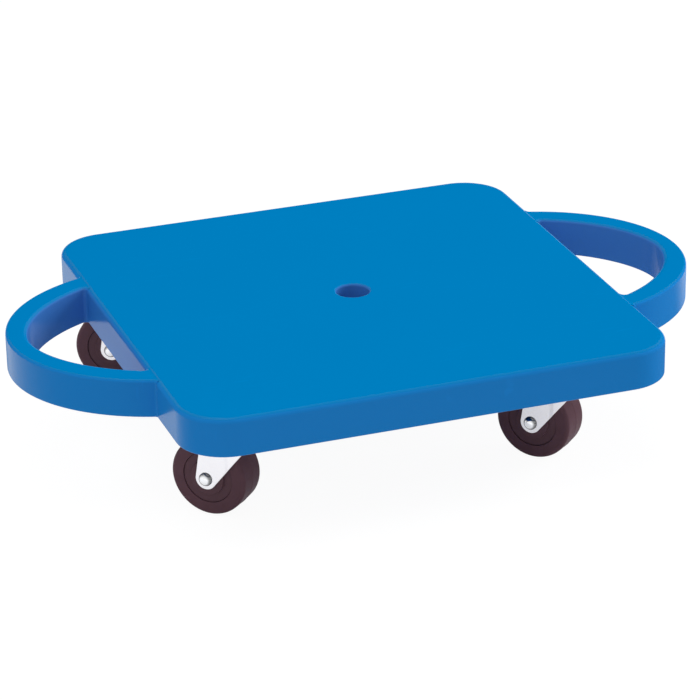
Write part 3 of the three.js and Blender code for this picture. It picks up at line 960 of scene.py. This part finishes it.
loop_wall = deck_high.y - TUCK
loop_outside = rooted(loop_oval, loop_wall, ROOT_FILLET, 1)
loop_inside = rooted(gap_oval, loop_wall, ROOT_FILLET, -1)
tucked = [Vector((loop_wall - LOOP_DEPTH, p.y)) for p in (loop_outside[-1], loop_inside[-1])]
loop_outline = band_outline(loop_outside, tucked, loop_inside)
loop_sections = body_sections(
    loop_outline, deck_low.z, deck_high.z - LOOP_TOP_DROP, LOOP_FOOT_ROUND, LOOP_TOP_ROUND
)
loop_sections = comfortable(loop_sections, loop_outline, len(loop_outside) + len(tucked))
right_loop = loft("hand loop", loop_sections)
HALF_TURN = Matrix.Rotation(math.pi, 4, "Z")
deck_body = joined(deck_blank, several([right_loop, moved(right_loop, HALF_TURN)]))
print("deck and loops:", len(deck_body.polygons), "faces")

# %% [markdown]
# The underside
#
# A slab of plastic this thick would sink and warp as it cools, so the real deck is a thin
# shell stiffened by a lattice of ribs, with a boss for each caster screw and a tube round
# the centre hole. Adding a hundred ribs one by one would be slow. It is simpler to think
# as the mould does: its core is a set of blocks, and each block leaves one pocket. The
# hole itself is cut last, with a small round lip at the top.

# %% Rib lines
SCREW_ACROSS, SCREW_ALONG = 44, 32
RIB, RIBS_BETWEEN = 3, 3
WALL, SKIN = 4, 4.5
swivel_half = abs(joints[casters[0] + "_swivel_turn"]["pos_m"][0]) / MM


def rib_lines(spacing):
    """Middles of the ribs, through both screws of each caster and evenly between casters."""
    outer, inner = swivel_half + spacing / 2, swivel_half - spacing / 2
    even = [-inner + 2 * inner * i / (RIBS_BETWEEN + 1) for i in range(RIBS_BETWEEN + 2)]
    return [-outer, *even, outer]


def pockets(lines):
    """The clear spans between ribs, and between the last ribs and the walls."""
    edge = deck_half - WALL
    lows = [-edge] + [line + RIB / 2 for line in lines]
    highs = [line - RIB / 2 for line in lines] + [edge]
    return list(zip(lows, highs))


spans_x, spans_y = pockets(rib_lines(SCREW_ACROSS)), pockets(rib_lines(SCREW_ALONG))
print("pockets under the deck:", len(spans_x) * len(spans_y))

# %% Pocket cores
POCKET_CORNER, CEILING_ROUND, MOUTH_ROUND = 2, 1.5, 0.4
BOSS_RADIUS, POST_SINK, POST_CAP = 5.5, 0.02, 1
HOLE_RADIUS, TUBE_WALL = 10.3, 4.5
deck_ceiling = deck_high.z - SKIN * MM


def core_block(outline, ceiling):
    """A block of the mould's core: its top edge rounded, and its mouth flared a little."""
    flare, top_round = MOUTH_ROUND * MM, CEILING_ROUND * MM
    mouth = offset(outline, flare)
    sections = [(mouth, deck_low.z - OVERRUN * MM), (mouth, deck_low.z)]
    sections += body_sections(outline, deck_low.z + flare, ceiling, 0, top_round)
    return loft("core block", sections)


def standing_post(radius, x, y):
    """A boss or tube left standing in the pockets, filleted where it meets the ceiling."""
    foot, top = deck_foot - 2 * OVERRUN, deck_ceiling / MM + POST_SINK
    flare, cap = radius + 2 * CEILING_ROUND, top + POST_CAP
    corners = [(0, foot, 0), (radius, foot, 0), (radius, top, CEILING_ROUND)]
    corners += [(flare, top, 0), (flare, cap, 0), (0, cap, 0)]
    return moved(turned("post", corners, sides=40), by(x, y))


blocks = [
    core_block(rectangle(low_x, low_y, high_x, high_y, POCKET_CORNER), deck_ceiling)
    for low_x, high_x in spans_x
    for low_y, high_y in spans_y
]
inside = core_block(offset(deck_outline, -WALL * MM), deck_ceiling)
hollow = shared(several(blocks), inside)
print("core blocks:", len(blocks))

# %% Bosses, tube and pilot holes
SCREW_HOLE, PILOT_DEPTH, PILOT_POINT = 2.2, 15, 1
QUARTERS = (1, 1), (-1, 1), (-1, -1), (1, -1)
screw_spots = [(x * SCREW_ACROSS / 2, y * SCREW_ALONG / 2) for x, y in QUARTERS]
boss_spots = [
    (x * swivel_half + across, y * swivel_half + along)
    for x in (-1, 1)
    for y in (-1, 1)
    for across, along in screw_spots
]
posts = several([standing_post(BOSS_RADIUS, x, y) for x, y in boss_spots])
hollow = cut(cut(hollow, posts), standing_post(HOLE_RADIUS + TUBE_WALL, 0, 0))
deck_body = cut(deck_body, hollow)


def pilot_hole(x, y):
    below, end = deck_foot - OVERRUN, deck_foot + PILOT_DEPTH
    mouth = SCREW_HOLE + MOUTH_ROUND
    corners = [(0, below, 0), (mouth, below, 0), (mouth, deck_foot, 0)]
    corners += [(SCREW_HOLE, deck_foot + MOUTH_ROUND, 0), (SCREW_HOLE, end, 0)]
    corners.append((0, end + PILOT_POINT, 0))
    return moved(turned("pilot hole", corners, sides=24), by(x, y))


deck_body = cut(deck_body, several([pilot_hole(x, y) for x, y in boss_spots]))
print("screw bosses:", len(boss_spots))

# %% Channels under the hand loops
LOOP_WALL, LOOP_RIBS, RIB_FAN, RIB_CORNER = 3.5, 7, math.radians(108), 0.5
channel_corner = POCKET_CORNER * MM
channel_outside = rooted(offset(loop_oval, -LOOP_WALL * MM), deck_high.y, channel_corner, -1)
channel_inside = rooted(offset(gap_oval, LOOP_WALL * MM), deck_high.y, channel_corner, 1)
channel_outline = band_outline(channel_outside, [], channel_inside)
loop_ceiling = deck_high.z - LOOP_TOP_DROP - LOOP_WALL * MM


def channel_rib(number):
    """A short rib across the channel, in line with the loop's centre."""
    angle = RIB_FAN * (number / (LOOP_RIBS - 1) - 0.5)
    outline = rectangle(0, -RIB / 2, loop_reach / MM, RIB / 2, RIB_CORNER)
    block = body_sections(outline, deck_low.z, deck_high.z, 0, 0)
    place = Matrix.Translation((deck_high.y - LOOP_INSET, 0, 0)) @ Matrix.Rotation(angle, 4, "Z")
    return moved(loft("channel rib", block), place)


right_channel = core_block(channel_outline, loop_ceiling)
for number in range(LOOP_RIBS):
    right_channel = cut(right_channel, channel_rib(number))
channels = several([right_channel, moved(right_channel, HALF_TURN)])
deck_body = cut(deck_body, channels)
print("ribs under each loop:", LOOP_RIBS)

# %% Centre hole
HOLE_LIP = 1.7
hole_foot, hole_top = HOLE_RADIUS + DECK_FOOT_ROUND, HOLE_RADIUS + HOLE_LIP
hole_corners = [
    (0, deck_foot - OVERRUN, 0),
    (hole_foot, deck_foot - OVERRUN, 0),
    (hole_foot, deck_foot, 0),
    (HOLE_RADIUS, deck_foot + DECK_FOOT_ROUND, 0.5),
]
lip = arc(Vector((hole_top, deck_top - HOLE_LIP)), HOLE_LIP, math.pi, math.pi / 2)
hole_corners += [(p.x, p.y, 0) for p in lip]
hole_corners += [(hole_top, deck_top + OVERRUN, 0), (0, deck_top + OVERRUN, 0)]
deck_body = cut(deck_body, turned("centre hole", hole_corners, sides=96))
smooth(deck_body)
place_piece("deck_moulding", deck_body, Matrix(), "deck", "deck", "deck_plastic")
print("deck moulding:", len(deck_body.polygons), "faces")

# %% [markdown]
# The casters
#
# The four casters are the same bought-in part, so we shape each of its pieces once and
# place it four times. Its own frame has its origin on the ground under the swivel, with X
# towards the trailing wheel and Y along the axle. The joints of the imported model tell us
# where each caster stands and which way its wheel trails. Copies share one mesh, which
# keeps the file light and makes a change to one a change to all.

# %% Caster frames
def caster_frame(caster):
    """The place of a caster, its X axis turned from the swivel towards the axle."""
    swivel = Vector(joints[caster + "_swivel_turn"]["pos_m"])
    axle = Vector(joints[caster + "_wheel_spin"]["pos_m"])
    heading = math.atan2(axle.y - swivel.y, axle.x - swivel.x)
    return Matrix.Translation((swivel.x, swivel.y, 0)) @ Matrix.Rotation(heading, 4, "Z")


def plate_frame(caster):
    """The place of a caster's mounting plate, which is square with the deck."""
    swivel = joints[caster + "_swivel_turn"]["pos_m"]
    return Matrix.Translation((swivel[0], swivel[1], 0))


TRAIL = 21.6
AXLE_HEIGHT = joints[casters[0] + "_wheel_spin"]["pos_m"][2] / MM
axle_place = Matrix.Translation((TRAIL * MM, 0, AXLE_HEIGHT * MM))
on_axle = axle_place @ Matrix.Rotation(-math.pi / 2, 4, "X")


def place_four(label, mesh, frame_of, part_of, cad_node, slot):
    """Place one mesh on all four casters."""
    smooth(mesh)
    for caster in casters:
        name, body, replaced = f"{caster}_{label}", part_of.format(caster), f"{caster}_{cad_node}"
        place_piece(name, mesh, frame_of(caster), body, replaced, slot)
    print(label, "has", len(mesh.polygons), "faces")


print("axle height, in mm:", round(AXLE_HEIGHT, 2))

# %% [markdown]
# The mounting plate and its screws
#
# The plate is a blank of two-millimetre steel with a hole near each corner. Its middle is
# pressed down into a stepped cone, and the caster's balls run round that cone. A pressing
# has no sharp corners, so every corner of its section gets a small round. The pan head
# screws hang under the plate, and their cross recess is cut with two tapered bars.

# %% Mounting plate
PLATE, PLATE_MARGIN, PLATE_CORNER, PLATE_ROUND = 2, 8, 5, 0.35 * MM
plate_foot = deck_foot - PLATE
RACE_IN, RACE_OUT, RACE_DEPTH, PRESSED_FLOOR, PIN_HOLE = 12, 16.5, 2.8, 54, 4.3
RACE_RIM, RACE_PUNCH = RACE_OUT + 3, RACE_OUT + 1
race_height = plate_foot - RACE_DEPTH


def pressed_race():
    corners = [
        (PIN_HOLE, PRESSED_FLOOR, 0.3),
        (RACE_IN, PRESSED_FLOOR, 1.2),
        (RACE_IN, race_height, 1),
        (RACE_OUT, race_height, 1.2),
        (RACE_OUT, plate_foot, 0.8),
        (RACE_RIM, plate_foot, 0),
        (RACE_RIM, plate_foot + PLATE, 0),
        (RACE_OUT - PLATE, plate_foot + PLATE, 1.2),
        (RACE_OUT - PLATE, race_height + PLATE, 0.8),
        (RACE_IN - PLATE, race_height + PLATE, 1),
        (RACE_IN - PLATE, PRESSED_FLOOR + PLATE, 0.8),
        (PIN_HOLE, PRESSED_FLOOR + PLATE, 0.3),
    ]
    return turned("pressed race", corners, sides=72)


def drill(radius, low, high, sides=48):
    """A round tool that leaves a hole."""
    corners = [(0, low, 0), (radius, low, 0), (radius, high, 0), (0, high, 0)]
    return turned("drill", corners, sides)


def plate_blank():
    half_x, half_y = SCREW_ACROSS / 2 + PLATE_MARGIN, SCREW_ALONG / 2 + PLATE_MARGIN
    outline = rectangle(-half_x, -half_y, half_x, half_y, PLATE_CORNER)
    sections = body_sections(outline, plate_foot * MM, deck_low.z, PLATE_ROUND, PLATE_ROUND)
    blank = loft("plate", sections)
    for radius, x, y in [(RACE_PUNCH, 0, 0)] + [(SCREW_HOLE, x, y) for x, y in screw_spots]:
        punch = drill(radius, plate_foot - OVERRUN, plate_foot + OVERRUN, sides=72)
        blank = cut(blank, moved(punch, by(x, y)))
    return blank


plate = joined(plate_blank(), pressed_race())
place_four("plate_pressing", plate, plate_frame, "deck", "mount_plate", "zinc_steel")

# %% Pan head screws
SCREW_RADIUS, HEAD_RADIUS, HEAD_DEPTH, SCREW_LENGTH = 1.9, 4.2, 2.4, 13
HEAD_FLAT, HEAD_DOME, HEAD_SIDE, POINT, POINT_RADIUS = 0.6, 0.12, 1, 3, 0.2
RECESS_MOUTH, RECESS_END, RECESS_ROUND = (-1, 2.6, 0.62), (1.5, 1.3, 0.42), 0.1


def cross_recess():
    """Two crossed bars that narrow upwards, for the driver's tip."""
    bars = []
    for quarter in (0, 1):
        sections = []
        for height, reach, width in (RECESS_MOUTH, RECESS_END):
            bar = rectangle(-reach, -width, reach, width, RECESS_ROUND)
            sections.append((bar, (plate_foot - HEAD_DEPTH + height) * MM))
        bars.append(moved(loft("bar", sections), Matrix.Rotation(quarter * math.pi / 2, 4, "Z")))
    return joined(*bars)


def pan_screw():
    head = plate_foot - HEAD_DEPTH
    tip = deck_foot + SCREW_LENGTH
    corners = [
        (0, head, 0),
        (HEAD_RADIUS * HEAD_FLAT, head + HEAD_DOME, 1),
        (HEAD_RADIUS, head + HEAD_SIDE, 0.9),
        (HEAD_RADIUS, plate_foot, 0.2),
        (SCREW_RADIUS, plate_foot, 0.2),
        (SCREW_RADIUS, tip - POINT, 0.5),
        (POINT_RADIUS, tip, 0),
        (0, tip, 0),
    ]
    return cut(turned("pan screw", corners, sides=40), cross_recess())


screw = pan_screw()
smooth(screw)
for caster in casters:
    for number, (x, y) in enumerate(screw_spots, start=1):
        place = plate_frame(caster) @ by(x, y)
        name, replaced = f"{caster}_pan_screw_{number}", f"{caster}_screw_{number}"
        place_piece(name, screw, place, "deck", replaced, "bright_steel")
print("pan screw has", len(screw.polygons), "faces")

# %% King rivet and its washer
PIN_RADIUS, RIVET_RIM, RIVET_DEPTH, RIVET_SIDE = 4, 2.5, 1.6, 0.6
WASHER_RADIUS, WASHER, WASHER_EDGE, WASHER_GAP = 9, 1.7, 0.9, 0.3
CROWN_FOOT = 51.6
washer_top = CROWN_FOOT - WASHER_GAP
washer_foot = washer_top - WASHER


def king_rivet():
    head, head_radius = PRESSED_FLOOR + PLATE, RACE_IN - PLATE - RIVET_RIM
    corners = [
        (0, washer_foot - RIVET_DEPTH, 0),
        (PIN_RADIUS, washer_foot - RIVET_DEPTH, 1),
        (PIN_RADIUS + RIVET_RIM, washer_foot - RIVET_SIDE, 0.6),
        (PIN_RADIUS + RIVET_RIM, washer_foot, 0.15),
        (PIN_RADIUS, washer_foot, 0),
        (PIN_RADIUS, head, 0),
        (head_radius, head, 0.3),
        (head_radius, head + RIVET_DEPTH, 0.8),
        (0, head + RIVET_DEPTH, 0),
    ]
    return turned("king rivet", corners, sides=48)


def rivet_washer():
    corners = [
        (PIN_HOLE, washer_foot, 0.3),
        (WASHER_RADIUS - WASHER_EDGE, washer_foot, 0.6),
        (WASHER_RADIUS, washer_foot + WASHER_EDGE, 0.6),
        (WASHER_RADIUS, washer_top, 0.3),
        (PIN_HOLE, washer_top, 0.3),
    ]
    return turned("rivet washer", corners, sides=48)


place_four("king_rivet", king_rivet(), plate_frame, "deck", "king_pin", "zinc_steel")
place_four("rivet_washer", rivet_washer(), plate_frame, "deck", "king_washer", "zinc_steel")

# %% [markdown]
# The fork
#
# The fork is one piece of sheet steel. Its crown is pressed into a cup for the balls, and
# its two legs are bent down, stepped out a little under the cup to clear the wheel, and
# trimmed to slanting edges with a round end. We make it the way the press does: first the
# bent sheet, then the trimming, then a small bevel where the sheared edges are broken.
# Those bevels matter, because they catch the light as a bright line round each leg.

# %% Bent and trimmed sheet
STEEL = 1.6
LEG_INSIDE = 12.05
LEG_OUTSIDE = LEG_INSIDE + STEEL
CROWN_TOP = CROWN_FOOT + STEEL
BEND_INSIDE = 1.4
JOGGLE, JOGGLE_START, JOGGLE_END = 1, 9, 5.6
JOGGLE_STEPS, SHEET_FRONT, SHEET_BACK = 10, -30, 60


def sheet_section(spread):
    """The bent sheet seen from the front, its legs moved out by the spread."""
    inside, outside, bend = LEG_INSIDE + spread, LEG_OUTSIDE + spread, BEND_INSIDE + STEEL
    corners = [
        (-outside, 0, 0),
        (-inside, 0, 0),
        (-inside, CROWN_FOOT, BEND_INSIDE),
        (inside, CROWN_FOOT, BEND_INSIDE),
        (inside, 0, 0),
        (outside, 0, 0),
        (outside, CROWN_TOP, bend),
        (-outside, CROWN_TOP, bend),
    ]
    return rounded(corners)


def bent_sheet():
    sections = [(sheet_section(JOGGLE), SHEET_FRONT * MM)]
    for step in range(JOGGLE_STEPS + 1):
        share = step / JOGGLE_STEPS
        eased = share * share * (3 - 2 * share)
        along = JOGGLE_END + (JOGGLE_START - JOGGLE_END) * share
        sections.append((sheet_section(JOGGLE * (1 - eased)), along * MM))
    sections.append((sheet_section(0), SHEET_BACK * MM))
    upright = Matrix(((0, 0, 1, 0), (1, 0, 0, 0), (0, 1, 0, 0), (0, 0, 0, 1)))
    return moved(loft("bent sheet", sections), upright)


LEG_END, TRIM_ABOVE, SIDE_REACH = 6.7, 4, 30
FRONT_SLANT, BACK_SLANT = math.radians(38.5), math.radians(9)
LEG_BEVEL, BEVEL_STEPS, BEVEL_ANGLE = 0.45 * MM, 3, math.radians(50)


def leg_trim():
    """The legs seen from the side: two slanting edges that run down to a round end."""
    centre = Vector((TRAIL, AXLE_HEIGHT))
    end = arc(centre, LEG_END, BACK_SLANT, FRONT_SLANT - math.pi)
    above = CROWN_TOP + TRIM_ABOVE
    back = end[0].x - (above - end[0].y) * math.tan(BACK_SLANT)
    front = end[-1].x - (above - end[-1].y) * math.tan(FRONT_SLANT)
    outline = [Vector((front, above)), *reversed(end), Vector((back, above))]
    outline = [p * MM for p in outline]
    across = loft("leg trim", [(outline, -SIDE_REACH * MM), (outline, SIDE_REACH * MM)])
    return moved(across, Matrix.Rotation(math.pi / 2, 4, "X"))


def bevelled(mesh, width):
    """Break the crisp edges of a solid with a small round."""
    obj = in_scene("bevelled", mesh)
    step = obj.modifiers.new("broken edges", "BEVEL")
    step.width = width
    step.segments = BEVEL_STEPS
    step.limit_method = "ANGLE"
    step.angle_limit = BEVEL_ANGLE
    result = applied(obj)
    bpy.data.objects.remove(obj)
    return result


legs = bevelled(shared(bent_sheet(), leg_trim()), LEG_BEVEL)
print("bent sheet has", len(legs.polygons), "faces")

# %% Cup, holes and balls
CUP_RADIUS, CUP_RIM = 18.6, 60.4
BALL_RADIUS, BALL_CIRCLE, BALLS, BALL_SINK = 2.4, 14.7, 18, 0.1
BALL_HEIGHT = CROWN_TOP + BALL_RADIUS - BALL_SINK
AXLE_HOLE, PIN_PLAY = 3.3, 0.5


def cup():
    corners = [
        (0, CROWN_FOOT, 0),
        (CUP_RADIUS, CROWN_FOOT, 1.9),
        (CUP_RADIUS, CUP_RIM, 0.5),
        (CUP_RADIUS - STEEL, CUP_RIM, 0.5),
        (CUP_RADIUS - STEEL, CROWN_TOP, 0),
        (0, CROWN_TOP, 0),
    ]
    return turned("cup", corners, sides=96)


def ball(number):
    poles = -math.pi / 2, math.pi / 2
    profile = arc(Vector((0, BALL_HEIGHT)), BALL_RADIUS, *poles)
    corners = [(p.x, p.y, 0) for p in profile]
    corners[0], corners[-1] = (0, profile[0].y, 0), (0, profile[-1].y, 0)
    place = Matrix.Rotation(2 * math.pi * number / BALLS, 4, "Z") @ by(BALL_CIRCLE, 0)
    return moved(turned("ball", corners, sides=24), place)


fork = joined(legs, cup())
fork = cut(fork, drill(PIN_RADIUS + PIN_PLAY, CROWN_FOOT - OVERRUN, CROWN_TOP + OVERRUN))
fork = cut(fork, moved(drill(AXLE_HOLE, -SIDE_REACH, SIDE_REACH), on_axle))
fork = joined(fork, several([ball(number) for number in range(BALLS)]))
place_four("fork_pressing", fork, caster_frame, "{}_swivel", "fork", "zinc_steel")

# %% [markdown]
# The axle
#
# The axle is a polished bolt with a low domed head on one leg and a plain hexagon nut on
# the other. The dome works as a small round mirror, so its curve must be smooth and its
# rim must stand clear of the leg. The nut's corners are cut back by a cone, as on every
# turned nut, which leaves a curved chamfer on each flat.

# %% Axle bolt
SEAT_GAP = 0.2
AXLE_RADIUS, HEAD_RIM, HEAD_HEIGHT, RIM_HEIGHT, DOME_START = 3, 4.2, 2.6, 0.4, 0.2
LEG_SEAT = LEG_OUTSIDE + SEAT_GAP
NUT_HEIGHT, AXLE_TIP, TIP_CHAMFER = 4.5, 1.2, 0.6
THREADS, THREAD_PITCH, THREAD_DEPTH, THREAD_START = 6, 0.8, 0.35, 0.75


def axle_bolt():
    end = -(LEG_SEAT + NUT_HEIGHT + AXLE_TIP)
    corners = [(0, end, 0), (AXLE_RADIUS - TIP_CHAMFER, end, 0.2)]
    corners.append((AXLE_RADIUS, end + TIP_CHAMFER, 0.1))
    for turn in range(THREADS):
        foot = end + THREAD_START + turn * THREAD_PITCH
        groove = AXLE_RADIUS - THREAD_DEPTH, foot + THREAD_PITCH / 2, 0.1
        corners += [(AXLE_RADIUS, foot, 0), groove]
    corners += [
        (AXLE_RADIUS, end + THREAD_START + THREADS * THREAD_PITCH, 0),
        (AXLE_RADIUS, LEG_SEAT, 0),
        (HEAD_RIM, LEG_SEAT, 0.2),
        (HEAD_RIM, LEG_SEAT + RIM_HEIGHT, 0.1),
    ]
    for point in arc(Vector((0, 0)), 1, DOME_START, math.pi / 2)[:-1]:
        corners.append((point.x * HEAD_RIM, LEG_SEAT + point.y * HEAD_HEIGHT, 0))
    corners.append((0, LEG_SEAT + HEAD_HEIGHT, 0))
    return moved(turned("axle bolt", corners, sides=64), on_axle)


place_four("axle_bolt", axle_bolt(), caster_frame, "{}_swivel", "axle", "bright_steel")

# %% Nut and spacer tube
NUT_FLATS, NUT_FACE, NUT_CLEAR = 10, 0.3, 0.01
SPACER_WALL = 1.3


def hex_nut():
    corner = NUT_FLATS / 2 / math.cos(math.pi / 6)
    angles = [k * math.pi / 3 for k in range(6)]
    hexagon = [corner * MM * Vector((math.cos(a), math.sin(a))) for a in angles]
    far, near = -(LEG_SEAT + NUT_HEIGHT), -LEG_SEAT
    prism = loft("hexagon", [(hexagon, far * MM), (hexagon, near * MM)])
    face, rim = NUT_FLATS / 2 - NUT_FACE, corner + NUT_CLEAR
    chamfer = (corner - face) * math.tan(math.pi / 6)
    corners = [(AXLE_RADIUS, far, 0.3), (face, far, 0), (rim, far + chamfer, 0)]
    corners += [(rim, near - chamfer, 0), (face, near, 0), (AXLE_RADIUS, near, 0.3)]
    return moved(shared(prism, turned("nut blank", corners, sides=96)), on_axle)


def spacer_tube():
    face, bore, outside = LEG_INSIDE - SEAT_GAP, AXLE_HOLE, AXLE_HOLE + SPACER_WALL
    corners = [(bore, -face, 0.2), (outside, -face, 0.3), (outside, face, 0.3), (bore, face, 0.2)]
    return moved(turned("spacer tube", corners, sides=48), on_axle)


place_four("hex_nut", hex_nut(), caster_frame, "{}_swivel", "axle_nut", "zinc_steel")
place_four("spacer_tube", spacer_tube(), caster_frame, "{}_swivel", "axle_sleeve", "zinc_steel")

# %% [markdown]
# The wheel
#
# The wheel is a hard core with a rubber tyre moulded round it. Both are nearly the same
# dark brown, and what tells them apart is the fine ring where they meet and the raised
# disc round the hub. The tread is very slightly crowned, and a thin flash line runs round
# its middle where the two halves of the mould met. Turned outlines give us all of this,
# and a key in the core holds the tyre in place out of sight.

# %% Core and tyre
TREAD_HALF, CORE_FACE, HUB_FACE = 11.05, 10.35, 11.75
CORE_BORE, HUB_RADIUS, CORE_RADIUS, KEY_HALF, KEY_DEPTH = 4.9, 11, 15.9, 4, 1.8
TYRE_BORE, TYRE_RADIUS, SHOULDER = 16.1, 24.6, 2.6
CROWN_DROP, FLASH_HEIGHT, FLASH_HALF = 0.3, 0.14, 0.22
HUB_SLOPE, KEY_GAP = 0.4, 0.2


def both_sides(half):
    """An outline and its mirror image below zero height."""
    return half + [(x, -y, radius) for x, y, radius in reversed(half)]


def wheel_core():
    half = [
        (CORE_BORE, HUB_FACE, 0.4),
        (HUB_RADIUS - HUB_SLOPE, HUB_FACE, 0.4),
        (HUB_RADIUS, CORE_FACE, 0.1),
        (CORE_RADIUS, CORE_FACE, 0.12),
        (CORE_RADIUS, KEY_HALF, 0.3),
        (CORE_RADIUS + KEY_DEPTH, KEY_HALF, 0.3),
    ]
    return moved(turned("wheel core", both_sides(half), sides=128), on_axle)


def rubber_tyre():
    flat = TYRE_RADIUS - FLASH_HEIGHT
    half = [
        (TYRE_BORE + KEY_DEPTH, KEY_HALF + KEY_GAP, 0.3),
        (TYRE_BORE, KEY_HALF + KEY_GAP, 0.3),
        (TYRE_BORE, TREAD_HALF, 0.16),
        (flat - CROWN_DROP, TREAD_HALF, SHOULDER),
        (flat - CROWN_DROP / 4, TREAD_HALF / 2, 8),
        (flat, FLASH_HALF * 2, 0),
        (TYRE_RADIUS, FLASH_HALF, 0.1),
    ]
    return moved(turned("rubber tyre", both_sides(half), sides=160), on_axle)


place_four("hub_moulding", wheel_core(), caster_frame, "{}_wheel", "wheel_core", "core_plastic")
place_four("rubber_tyre", rubber_tyre(), caster_frame, "{}_wheel", "tyre", "tyre_rubber")

# %% [markdown]
# Pieces placed
#
# We end by counting the pieces that were placed.

# %% Pieces placed
print("pieces placed:", len(made))
